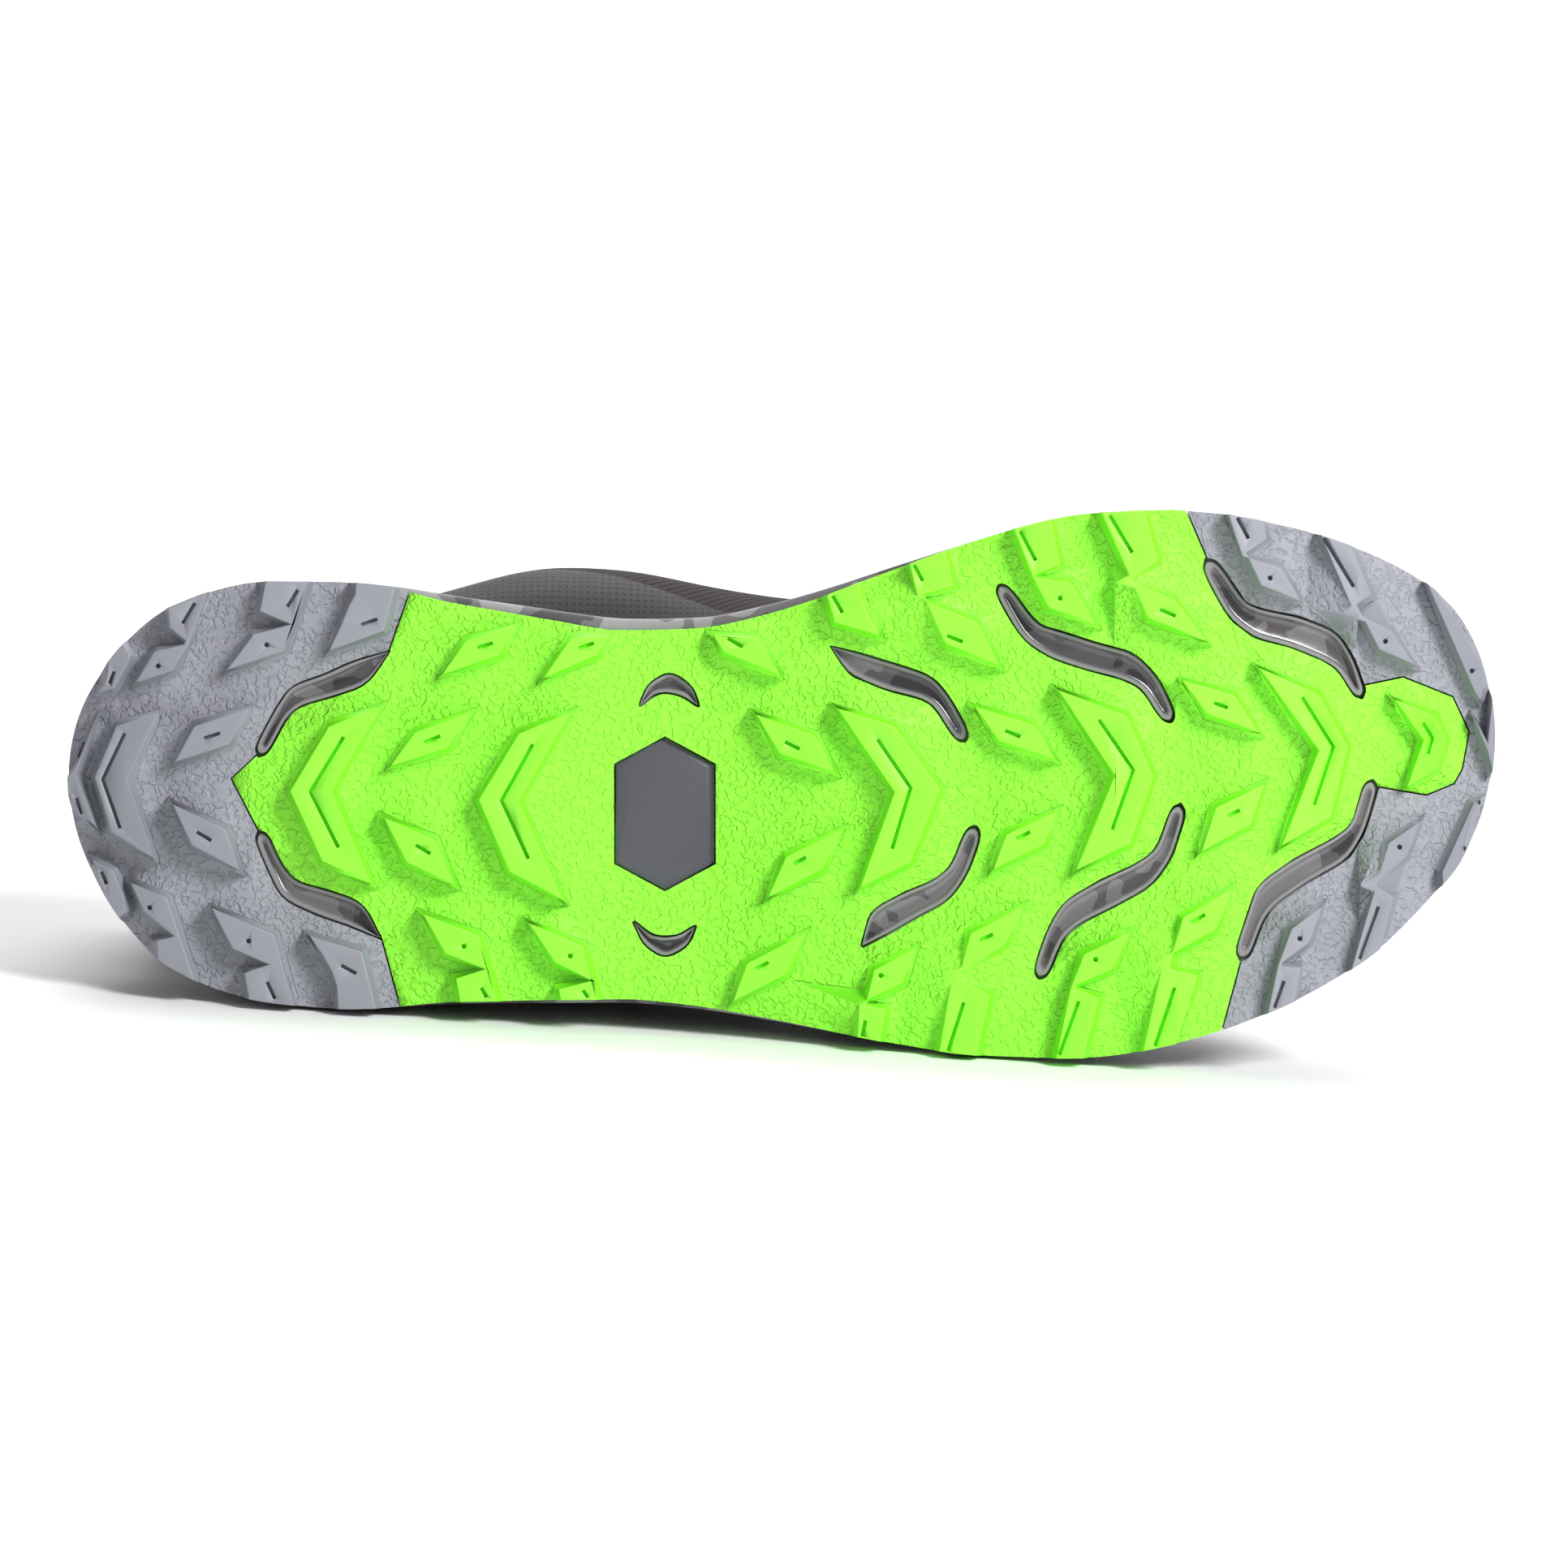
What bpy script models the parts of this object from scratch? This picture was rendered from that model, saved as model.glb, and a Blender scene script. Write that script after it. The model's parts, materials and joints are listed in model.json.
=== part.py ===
"""Left trail running shoe, empty and laced, lying on its lateral side.

The pieces are modelled in the shoe's own frame: +X from heel to toe, +Y to the wearer's left, +Z up
from the plane that the lugs stand on. Plans are drawn as (x, y) with y towards the medial side. An
empty then lays the whole shoe down on its sole's edge and its upper.
"""

import bisect
import math

import bmesh
import bpy
import numpy as np
from mathutils import Matrix, Vector
from mathutils.geometry import delaunay_2d_cdt

# Sole, in metres
SOLE_LENGTH = 0.2955
HEEL_WIDTH = 0.088
WAIST_WIDTH = 0.076
BALL_WIDTH = 0.112
LUG_DEPTH = 0.004
LUG_FLANK = 0.0013
RUBBER_SHEET = 0.002
HEEL_BEVEL = 0.007
ARCH_RISE = 0.0025
TOE_SPRING = 0.021
HEEL_STACK = 0.028
BALL_STACK = 0.020
FOAM_PROUD = 0.0027
RIM_INSET = 0.006
RIM_WALL = 0.0032
RIM_HEIGHT = 0.007
SIDE_GROOVE = 0.0013
INLAY_LENGTH = 0.021
INLAY_WIDTH = 0.032
INLAY_RECESS = 0.0006

# Upper, in metres
KNIT_WALL = 0.002
COLLAR_PAD = 0.0055
GUARD_STEP = 0.0007
COLLAR_HEIGHT = 0.097
INSTEP_HEIGHT = 0.109
COLLAR_WIDTH = 0.060
THROAT_WIDTH = 0.041
EYELET_BORE = 0.0042
EYELET_EDGE = 0.0068
TONGUE_PAD = 0.006
TONGUE_MARGIN = 0.0045
INSOLE_THICKNESS = 0.004
LACE_WIDTH = 0.0055
LACE_THICKNESS = 0.0016

# Gaps between pieces that touch on the real shoe
CLEARANCE = 0.0003
RUBBER_GAP = 0.00018
FOOT_GAP = 0.0005
INSOLE_GAP = 0.0018
TONGUE_GAP = 0.0009
LACE_CLEARANCE = 0.0009

# Points closer than this are one point of a plan, and the length over which a slope is measured
NEAREST = 2e-6
PROBE = 0.002

# Densities that find the shoe's balance, kg per cubic metre
DENSITY = {"rubber": 1150.0, "foam": 210.0, "knit": 420.0}

MEDIAL, LATERAL = 1, -1
PER_MILLE = 0.001
PER_CENT = 0.01


def table(columns, *rows):
    """Rows of a table as dictionaries that are keyed by its column names."""
    names = columns.split()
    return [dict(zip(names, row)) for row in rows]


# Edge of the outsole: share of the length, the width that the row follows, and shares of it to either side
OUTLINE = table(
    "along width medial lateral",
    (0.000, "heel", 0.045, -0.045),
    (0.028, "heel", 0.303, 0.248),
    (0.073, "heel", 0.435, 0.409),
    (0.141, "heel", 0.494, 0.489),
    (0.209, "heel", 0.492, 0.506),
    (0.254, "heel", 0.455, 0.491),
    (0.322, "waist", 0.480, 0.562),
    (0.389, "waist", 0.441, 0.559),
    (0.434, "waist", 0.445, 0.575),
    (0.502, "ball", 0.339, 0.421),
    (0.570, "ball", 0.404, 0.457),
    (0.637, "ball", 0.466, 0.482),
    (0.705, "ball", 0.511, 0.487),
    (0.773, "ball", 0.520, 0.460),
    (0.840, "ball", 0.497, 0.402),
    (0.908, "ball", 0.444, 0.305),
    (0.953, "ball", 0.382, 0.195),
    (0.976, "ball", 0.324, 0.123),
    (1.000, "ball", 0.107, -0.107),
)

# Rise of the lug faces over the ground: shares of the heel bevel, the arch rise and the toe spring
PROFILE = table(
    "along bevel arch spring",
    (0.000, 1.00, 0.0, 0.00),
    (0.030, 0.62, 0.0, 0.00),
    (0.065, 0.27, 0.0, 0.00),
    (0.100, 0.07, 0.0, 0.00),
    (0.130, 0.00, 0.0, 0.00),
    (0.340, 0.00, 0.0, 0.00),
    (0.395, 0.00, 0.7, 0.00),
    (0.445, 0.00, 1.0, 0.00),
    (0.500, 0.00, 0.7, 0.00),
    (0.555, 0.00, 0.0, 0.00),
    (0.730, 0.00, 0.0, 0.00),
    (0.775, 0.00, 0.0, 0.04),
    (0.820, 0.00, 0.0, 0.12),
    (0.862, 0.00, 0.0, 0.25),
    (0.902, 0.00, 0.0, 0.41),
    (0.940, 0.00, 0.0, 0.60),
    (0.972, 0.00, 0.0, 0.80),
    (1.000, 0.00, 0.0, 1.00),
)

# Foot bed inside the rim: shares of the two stack heights and of the toe spring
FOOT_BED = table(
    "along heel ball spring",
    (0.000, 1.04, 0.00, 0.00),
    (0.100, 1.00, 0.00, 0.00),
    (0.260, 0.98, 0.02, 0.00),
    (0.400, 0.72, 0.30, 0.00),
    (0.520, 0.36, 0.66, 0.00),
    (0.640, 0.04, 0.96, 0.00),
    (0.740, 0.00, 1.00, 0.04),
    (0.830, 0.00, 1.00, 0.18),
    (0.910, 0.00, 1.00, 0.42),
    (1.000, 0.00, 1.00, 0.80),
)

# Foam's edge past the rubber, the rim's inset from it, both per side, and the rim's height over the foot bed
FOAM = table(
    "along proud_medial proud_lateral inset_medial inset_lateral rim",
    (0.000, 0.10, 0.10, 1.10, 1.10, 1.20),
    (0.073, 0.10, 0.10, 0.95, 0.95, 1.20),
    (0.180, 0.10, 0.15, 0.80, 0.90, 1.20),
    (0.270, 0.70, 0.35, 0.35, 0.75, 1.30),
    (0.389, 1.00, 0.48, 0.10, 0.65, 1.35),
    (0.502, 0.75, 0.30, 0.35, 0.70, 1.15),
    (0.620, 0.30, 0.20, 0.80, 0.80, 0.90),
    (0.750, 0.15, 0.12, 0.95, 0.85, 0.80),
    (0.900, 0.10, 0.10, 1.05, 0.95, 0.90),
    (1.000, 0.10, 0.10, 1.15, 1.15, 1.10),
)

# Side of the foam from the rubber up to the rim: share of its height and shares of the groove's depth
SIDE = table(
    "height out",
    (0.00, -0.60),
    (0.07, 0.00),
    (0.28, 0.55),
    (0.47, 0.30),
    (0.51, -0.80),
    (0.58, -0.80),
    (0.63, 0.35),
    (0.90, 0.10),
    (1.00, -0.50),
)

# Ridge of the instep between collar and toe box: share of the instep height, and how fast it falls sideways
INSTEP = table(
    "along crest fall",
    (0.300, 1.057, 1.35),
    (0.365, 1.000, 1.52),
    (0.491, 0.885, 1.94),
    (0.630, 0.740, 2.30),
    (0.690, 0.676, 2.46),
    (0.730, 0.636, 2.46),
)

# Upper from heel to toe. foot: where the row leaves the sole; top: where it ends, share of the length;
# reach and height: that end, shares of the collar or throat width and of the collar height;
# lay: 1 on the instep; swell, rise: bulge over the sole, in hundredths of the ball width;
# run, drop: the curve's start at its top end
UPPER = table(
    "foot top reach_medial reach_lateral height lay swell_medial swell_lateral rise run drop pad guard",
    (0.000, 0.046, 0.00, 0.00, 1.000, 0, 5.4, 5.4, 17, 0.5, 21, 1.0, 0.34),
    (0.050, 0.060, 0.29, 0.27, 0.985, 0, 4.6, 4.2, 17, 0.5, 20, 1.0, 0.32),
    (0.125, 0.118, 0.44, 0.43, 0.890, 0, 4.0, 2.6, 15, 1.5, 17, 1.0, 0.26),
    (0.215, 0.205, 0.50, 0.49, 0.800, 0, 6.0, 4.0, 13, 4.0, 13, 1.0, 0.20),
    (0.305, 0.300, 0.46, 0.45, 0.900, 0, 16.5, 8.6, 15, 11.0, 14, 0.8, 0.16),
    (0.375, 0.367, 0.50, 0.50, 1.060, 1, 19.5, 10.4, 16, 16.0, 9, 0.0, 0.14),
    (0.490, 0.491, 0.42, 0.42, 0.950, 1, 11.5, 7.4, 15, 15.0, 8, 0.0, 0.15),
    (0.610, 0.602, 0.33, 0.33, 0.800, 1, 6.4, 5.4, 14, 15.5, 7, 0.0, 0.17),
    (0.720, 0.660, 0.24, 0.24, 0.750, 1, 4.4, 4.4, 14, 17.0, 6, 0.0, 0.18),
    (0.825, 0.681, 0.16, 0.16, 0.730, 1, 3.8, 3.8, 15, 22.0, 6, 0.0, 0.22),
    (0.910, 0.688, 0.09, 0.09, 0.720, 1, 3.4, 3.4, 17, 32.0, 6, 0.0, 0.26),
    (0.962, 0.690, 0.04, 0.04, 0.715, 1, 2.8, 2.8, 18, 39.0, 6, 0.0, 0.28),
    (1.000, 0.6905, 0.00, 0.00, 0.712, 1, 2.6, 2.6, 18, 41.0, 6, 0.0, 0.28),
)
UPPER_LEVELS = (0.0, 0.11, 0.2, 0.32, 0.46, 0.6, 0.74, 0.86, 0.95, 1.0)
UPPER_COLUMNS_A_SIDE = 30

# Row of the upper from which its top edge is the throat, and the padding's share of its thickness by level
THROAT_ROW = 5
PAD_LEVELS = (0.0, 0.45, 0.8, 0.95, 1.0)
PAD_SHARES = (0.0, 0.0, 1.0, 0.9, 0.45)
GUARD_FROM = 0.05

# Tongue from its top to its end under the vamp: half width as a share of the throat width, and its padding
TONGUE = table(
    "along half pad",
    (0.305, 0.22, 0.55),
    (0.312, 0.34, 0.90),
    (0.330, 0.42, 1.00),
    (0.365, 0.455, 1.00),
    (0.400, 0.52, 0.90),
    (0.460, 0.525, 0.80),
    (0.530, 0.485, 0.70),
    (0.600, 0.44, 0.60),
    (0.650, 0.37, 0.50),
    (0.685, 0.30, 0.45),
    (0.700, 0.24, 0.40),
)
TONGUE_BETWEEN = (0.43, 0.495, 0.565, 0.625)
TONGUE_ACROSS = (-1.0, -0.86, -0.66, -0.4, 0.0, 0.4, 0.66, 0.86, 1.0)
TONGUE_EDGE = 0.35
VAMP_OVERLAP = 0.03

EYELET_ROWS = (0.392, 0.441, 0.492, 0.541, 0.588, 0.628)
EYELET_SIDES = 8
LACE_PAST = 0.35
LACE_FOLDS = (-0.52, -0.36, -0.18, 0.0, 0.18, 0.36, 0.52)

# Insole's edge: inset, and share of its thickness
INSOLE_EDGE = ((0.0, 0.0), (0.0, 0.6), (0.0022, 1.0))

# Chevrons along the middle, corner by corner from the apex: thousandths of the length and per cent of
# the half width there
CHEVRONS = {
    "heel": ((15, 16, 32, 53, 70, 47, 47, 8, 66, -43, 28, -41),),
    "centre": (
        (152, 1, 181, 34, 225, 45, 190, 1, 218, -45, 176, -34),
        (283, -3, 313, 36, 357, 52, 320, -4, 351, -55, 306, -40),
        (613, 2, 579, 32, 531, 46, 572, 0, 548, -42, 591, -29),
        (761, 6, 741, 29, 685, 40, 725, 6, 698, -32, 744, -21),
        (898, 19, 876, 40, 825, 48, 868, 16, 842, -28, 885, -15),
        (969, 28, 961, 41, 921, 43, 943, 24, 931, -2, 961, 10),
    ),
    "toe": (),
}

# Diamonds between them: back tip, one flank, front tip, other flank
DIAMONDS = {
    "heel": ((71, 13, 117, 21, 134, 43, 87, 37), (70, -2, 115, -16, 126, -41, 85, -31)),
    "centre": (
        (221, 10, 269, 21, 288, 47, 241, 33),
        (217, -8, 260, -20, 276, -47, 235, -35),
        (257, 58, 305, 73, 319, 97, 277, 84),
        (327, 61, 373, 81, 384, 100, 350, 95),
        (445, 99, 484, 90, 503, 60, 455, 81),
        (475, 49, 524, 32, 541, 7, 494, 19),
        (498, -26, 545, -12, 530, -34, 484, -50),
        (471, -75, 519, -57, 504, -81, 460, -99),
        (627, 37, 676, 27, 694, 10, 647, 18),
        (651, -14, 695, -4, 684, -21, 641, -32),
        (771, 42, 816, 37, 836, 20, 792, 26),
        (797, -4, 839, 6, 828, -16, 786, -27),
    ),
    "toe": (),
}

# Lugs that run out over the sole's edge: their inner corners back, tip and front, then the notch and its lip.
# The first and last number are where they cross the edge; a lug with no notch repeats its front corner
EDGE_COLUMNS = "edge_a back_x back_y tip_x tip_y front_x front_y notch_x notch_y lip_x lip_y edge_b"
EDGE_LUGS = {
    "heel": table(
        EDGE_COLUMNS,
        (26, 22, 94, 16, 91, 36, 69, 48, 80, 50, 84, 38),
        (112, 78, 62, 43, 67, 59, 84, 79, 80, 69, 88, 66),
        (180, 156, 65, 107, 57, 129, 78, 150, 80, 131, 84, 139),
        (238, 225, 76, 179, 64, 188, 80, 194, 90, 198, 95, 199),
        (24, 17, -98, 13, -87, 36, -60, 43, -72, 47, -83, 36),
        (100, 74, -57, 40, -63, 51, -82, 69, -82, 57, -91, 62),
        (169, 149, -65, 97, -56, 114, -80, 135, -82, 120, -86, 127),
        (225, 210, -71, 165, -64, 175, -76, 182, -84, 185, -90, 187),
    ),
    "centre": table(
        EDGE_COLUMNS,
        (310, 291, -66, 244, -54, 262, -79, 285, -84, 267, -86, 274),
        (379, 364, -72, 317, -59, 338, -84, 359, -90, 338, -92, 345),
        (521, 532, 83, 572, 68, 567, 77, 562, 84, 558, 91, 554),
        (576, 609, 60, 655, 46, 637, 69, 599, 83, 623, 82, 611),
        (647, 681, 66, 722, 58, 701, 78, 680, 80, 697, 81, 684),
        (706, 750, 60, 799, 52, 774, 70, 738, 75, 765, 81, 747),
        (542, 559, -70, 596, -58, 586, -77, 559, -85, 575, -84, 568),
        (598, 626, -52, 671, -40, 657, -59, 616, -71, 648, -75, 633),
        (679, 705, -59, 745, -51, 731, -69, 707, -73, 724, -76, 706),
        (738, 774, -48, 816, -38, 804, -59, 763, -67, 793, -73, 770),
    ),
    "toe": table(
        EDGE_COLUMNS,
        (793, 829, 74, 866, 71, 848, 86, 826, 87, 841, 93, 832),
        (857, 913, 58, 947, 57, 928, 73, 897, 73, 916, 83, 889),
        (937, 966, 76, 981, 60, 990, 62, 992, 70, 994, 78, 995),
        (827, 850, -62, 880, -55, 870, -77, 851, -80, 866, -83, 855),
        (887, 919, -30, 951, -18, 939, -54, 910, -56, 932, -73, 917),
    ),
}

# Blocks at the two ends: corner by corner, past the edge where they run out over it
END_BLOCKS = {
    "heel": ((11, 60, 24, 70, 10, 22, 24, -42, 9, -50, -6, -50, -6, 60),),
    "centre": (),
    "toe": (
        (982, 52, 993, 48, 996, 100, 1006, 100, 1006, 10, 994, 10, 990, 30),
        (981, -10, 994, -6, 987, -70, 975, -130, 960, -130, 957, -78, 972, -44),
    ),
}

# Windows in the rubber: centre line, thousandths and per cent as above, and half width in thousandths
WINDOWS = (
    (136, 20, 5.9, 150, 38, 5.8, 160, 46, 8.5, 183, 51, 9.1, 205, 57, 10.5, 226, 69, 0.7),
    (136, -21, 5.8, 145, -35, 5.9, 155, -46, 8.5, 178, -51, 10.2, 202, -56, 10.5, 220, -68, 0.7),
    (532, 74, 0.7, 549, 62, 9.1, 575, 52, 10.5, 599, 45, 9.5, 610, 38, 7.1, 624, 23, 6.4),
    (652, 78, 6.4, 671, 60, 8.1, 689, 54, 10.8, 714, 49, 10.8, 740, 45, 10.8, 755, 39, 7.8, 768, 27, 6.4),
    (797, 81, 7.1, 816, 66, 8.8, 832, 62, 11.2, 856, 61, 11.8, 881, 58, 12.2, 893, 52, 7.8, 903, 41, 5.4),
    (632, -15, 6.8, 622, -30, 7.1, 609, -38, 9.5, 589, -44, 10.5, 567, -52, 11.2, 554, -63, 1.4),
    (775, -7, 6.4, 765, -24, 6.8, 751, -32, 10.2, 726, -38, 11.2, 701, -45, 10.5, 689, -53, 7.1, 679, -68,
     6.4),
    (911, 3, 6.1, 902, -21, 6.1, 889, -31, 9.8, 861, -38, 10.2, 837, -46, 10.2, 829, -55, 6.8, 820, -70, 6.4),
    (399, 53, 1.4, 408, 64, 5.4, 420, 68, 8.5, 433, 62, 5.8, 441, 52, 1.4),
    (395, -62, 1.4, 405, -71, 5.4, 417, -74, 8.5, 430, -70, 5.8, 439, -62, 1.4),
)
ROUND_END = 3.0

# Lines between the coloured rubbers, from the medial edge to the lateral one, through the windows
HEEL_LINE = (
    (252, 130), (225, 69), (205, 57), (160, 46), (136, 20), (115, 7), (136, -21), (155, -46), (202, -56),
    (220, -68), (244, -130),
)
TOE_LINE = (
    (755, 130), (797, 81), (832, 62), (881, 58), (903, 44), (934, 52), (970, 52), (982, 38), (977, 14),
    (971, 5), (951, -2), (911, 3), (902, -21), (861, -38), (837, -46), (820, -70), (790, -130),
)

# Middle of the six-sided inlay, and the shares of its length at which its corners lie
INLAY_PLACE = (417, -10)
INLAY_SHOULDER = 0.27


class Curve:
    """Smooth curve through (place, value) pairs that never overshoots between two of them."""

    def __init__(self, places, values):
        self.places = list(places)
        self.values = list(values)
        gaps = [b - a for a, b in zip(self.places, self.places[1:])]
        rates = [(b - a) / gap for a, b, gap in zip(self.values, self.values[1:], gaps)]
        inner = [2 * a * b / (a + b) if a * b > 0 else 0.0 for a, b in zip(rates, rates[1:])]
        self.slopes = [rates[0]] + inner + [rates[-1]]

    def __call__(self, place):
        i = min(max(bisect.bisect_right(self.places, place) - 1, 0), len(self.places) - 2)
        gap = self.places[i + 1] - self.places[i]
        t = (place - self.places[i]) / gap
        start = (1 + 2 * t) * (1 - t) ** 2 * self.values[i] + t * (1 - t) ** 2 * gap * self.slopes[i]
        end = t * t * (3 - 2 * t) * self.values[i + 1] - t * t * (1 - t) * gap * self.slopes[i + 1]
        return start + end


def curve_of(rows, column, key="along"):
    """Smooth curve of one column of a table."""
    return Curve([row[key] for row in rows], [row[column] for row in rows])


def turn(along):
    """Angle that a share of the length has on a circle, which rounds both ends of an outline."""
    return math.acos(1 - 2 * min(max(along, 0.0), 1.0))


WIDTHS = {"heel": HEEL_WIDTH, "waist": WAIST_WIDTH, "ball": BALL_WIDTH}
TURNS = [turn(row["along"]) for row in OUTLINE]
HALF = {
    MEDIAL: Curve(TURNS, [row["medial"] * WIDTHS[row["width"]] for row in OUTLINE]),
    LATERAL: Curve(TURNS, [row["lateral"] * WIDTHS[row["width"]] for row in OUTLINE]),
}
FOAM_CURVES = {column: curve_of(FOAM, column) for column in FOAM[0]}
UPPER_STEPS = [index / (len(UPPER) - 1) for index in range(len(UPPER))]
UPPER_CURVES = {column: Curve(UPPER_STEPS, [row[column] for row in UPPER]) for column in UPPER[0]}
CREST = curve_of(INSTEP, "crest")
FALL = curve_of(INSTEP, "fall")
BED = {column: curve_of(FOOT_BED, column) for column in ("heel", "ball", "spring")}


def tread_height(x):
    """Height of the lug faces: straight between the profile's rows, so bonded sheets share its planes."""
    places = [row["along"] for row in PROFILE]
    rises = [
        row["bevel"] * HEEL_BEVEL + row["arch"] * ARCH_RISE + row["spring"] * TOE_SPRING for row in PROFILE
    ]
    return float(np.interp(x / SOLE_LENGTH, places, rises))


def bed_height(x):
    """Height of the foot bed."""
    along = min(max(x / SOLE_LENGTH, 0.0), 1.0)
    stack = BED["heel"](along) * HEEL_STACK + BED["ball"](along) * BALL_STACK
    return stack + BED["spring"](along) * TOE_SPRING


def instep(x, y):
    """Height of the instep's surface over a place in the plan."""
    along = x / SOLE_LENGTH
    return CREST(along) * INSTEP_HEIGHT - FALL(along) * y * y / BALL_WIDTH


def instep_drop(x, y, thickness):
    """Upright distance under the instep of a surface that lies a thickness inside it."""
    slope = 2 * FALL(x / SOLE_LENGTH) * abs(y) / BALL_WIDTH
    return thickness * math.sqrt(1 + slope * slope)


def edge_point(side, along):
    """Point of the outsole's edge."""
    return Vector((along * SOLE_LENGTH, side * HALF[side](turn(along))))


def tread_point(thousandths, per_cent):
    """Point of the tread, from its share of the length and of the half width there."""
    along = thousandths * PER_MILLE
    side = MEDIAL if per_cent >= 0 else LATERAL
    half = HALF[side](turn(along))
    return Vector((along * SOLE_LENGTH, side * abs(per_cent) * PER_CENT * max(half, 0.0)))


def paired(numbers):
    """Corners from a row of alternating x and y numbers."""
    return [tread_point(x, y) for x, y in zip(numbers[::2], numbers[1::2])]


def sole_stations():
    """Shares of the length with a pair of points round the sole: the profile's rows and some between."""
    breaks = [row["along"] for row in PROFILE]
    count = 38
    closest = 0.011
    between = [(1 - math.cos(math.pi * k / count)) / 2 for k in range(1, count)]
    ends = (0.004, 0.012, 0.987, 0.995)
    far = [t for t in between if min(abs(t - b) for b in breaks) > closest and 0.02 < t < 0.98]
    return sorted(set(breaks) | set(far) | set(ends))


def round_the_sole():
    """(side, share of the length) of each point of a loop: from the heel up the medial side and back."""
    inner = sole_stations()[1:-1]
    medial = [(MEDIAL, t) for t in [0.0] + inner + [1.0]]
    return medial + [(LATERAL, t) for t in reversed(inner)]


def moved_out(loop, distances):
    """Closed loop with each point moved out of it by its own distance."""
    moved = []
    for i, point in enumerate(loop):
        way = loop[(i + 1) % len(loop)] - loop[i - 1]
        moved.append(point + Vector((-way.y, way.x)).normalized() * distances[i])
    return moved


def foam_loop(offset_of):
    """Loop round the sole, moved out from the rubber's edge by a function of side and share."""
    keys = round_the_sole()
    return moved_out([edge_point(*key) for key in keys], [offset_of(*key) for key in keys])


def side_name(column, side):
    return column + ("_medial" if side == MEDIAL else "_lateral")


def foam_proud(side, along):
    return FOAM_CURVES[side_name("proud", side)](along) * FOAM_PROUD


def rim_offset(side, along):
    """Where the rim's outer edge lies, out from the rubber's edge; it is inside nearly everywhere."""
    return -FOAM_CURVES[side_name("inset", side)](along) * RIM_INSET


def signed_area(polygon):
    pairs = zip(polygon, polygon[1:] + polygon[:1])
    return sum(a.x * b.y - b.x * a.y for a, b in pairs) / 2


def drawn_in(polygon, distance):
    """Polygon with its sides moved inwards, its sharp corners limited."""
    longest = 1.7
    sign = 1 if signed_area(polygon) > 0 else -1
    corners = []
    for i, corner in enumerate(polygon):
        before = (corner - polygon[i - 1]).normalized()
        after = (polygon[(i + 1) % len(polygon)] - corner).normalized()
        normals = [Vector((-way.y, way.x)) * sign for way in (before, after)]
        middle = (normals[0] + normals[1]).normalized()
        reach = min(1 / max(middle.dot(normals[0]), 0.1), longest)
        corners.append(corner + middle * distance * reach)
    return corners


def shifted_line(line, distance):
    """Line of points moved sideways, to the right of its run for a positive distance."""
    moved = []
    for i, point in enumerate(line):
        ways = [line[j + 1] - line[j] for j in (i - 1, i) if 0 <= j < len(line) - 1]
        normals = [Vector((way.y, -way.x)).normalized() for way in ways]
        middle = sum(normals, Vector((0, 0))).normalized()
        moved.append(point + middle * distance / max(middle.dot(normals[0]), 0.4))
    return moved


def window_outline(row):
    """Closed outline of a window along its centre line, with a round end wherever the line ends wide."""
    centres = [tread_point(x, y) for x, y in zip(row[::3], row[1::3])]
    halves = [half * PER_MILLE * SOLE_LENGTH for half in row[2::3]]
    left, right = [], []
    for i, centre in enumerate(centres):
        way = (centres[min(i + 1, len(centres) - 1)] - centres[max(i - 1, 0)]).normalized()
        normal = Vector((-way.y, way.x))
        left.append(centre + normal * halves[i])
        right.append(centre - normal * halves[i])
    start_way = (centres[0] - centres[1]).normalized()
    end_way = (centres[-1] - centres[-2]).normalized()
    start_cap = end_cap = ()
    if row[2] > ROUND_END:
        start_cap = (centres[0] + start_way * halves[0],)
    if row[-1] > ROUND_END:
        end_cap = (centres[-1] + end_way * halves[-1],)
    return left + list(end_cap) + right[::-1] + list(start_cap)


def inlay_outline(margin=0.0):
    """Six-sided outline of the inlay, made smaller by a margin."""
    middle = tread_point(*INLAY_PLACE)
    long, wide = INLAY_WIDTH / 2 - margin, INLAY_LENGTH / 2 - margin
    shoulder = long - INLAY_LENGTH * INLAY_SHOULDER
    half = ((0, long), (wide, shoulder), (wide, -shoulder))
    return [middle + Vector(corner) * sign for sign in (1, -1) for corner in half]


def edge_lug(row):
    """Outline of a lug that runs out over the edge; the solid's own outline cuts it there."""
    past = 112
    names = ("back", "tip", "front", "notch", "lip")
    side = 1 if row["tip_y"] > 0 else -1
    inner = [tread_point(row[name + "_x"], row[name + "_y"]) for name in names]
    return [tread_point(row["edge_a"], side * past)] + inner + [tread_point(row["edge_b"], side * past)]


def lugs_of(zone):
    """Outlines of all lugs of one rubber."""
    plain = CHEVRONS[zone] + DIAMONDS[zone] + END_BLOCKS[zone]
    return [paired(row) for row in plain] + [edge_lug(row) for row in EDGE_LUGS[zone]]


def zone_outline(zone):
    """Area of the plan that one rubber may fill, a gap short of its neighbours."""
    far = SOLE_LENGTH
    heel_line = [tread_point(*place) for place in HEEL_LINE]
    toe_line = [tread_point(*place) for place in TOE_LINE]
    if zone == "heel":
        return shifted_line(heel_line, RUBBER_GAP) + [Vector((-far, -far)), Vector((-far, far))]
    if zone == "toe":
        return shifted_line(toe_line, -RUBBER_GAP) + [Vector((2 * far, -far)), Vector((2 * far, far))]
    return shifted_line(heel_line, -RUBBER_GAP) + shifted_line(toe_line, RUBBER_GAP)[::-1]


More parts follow.
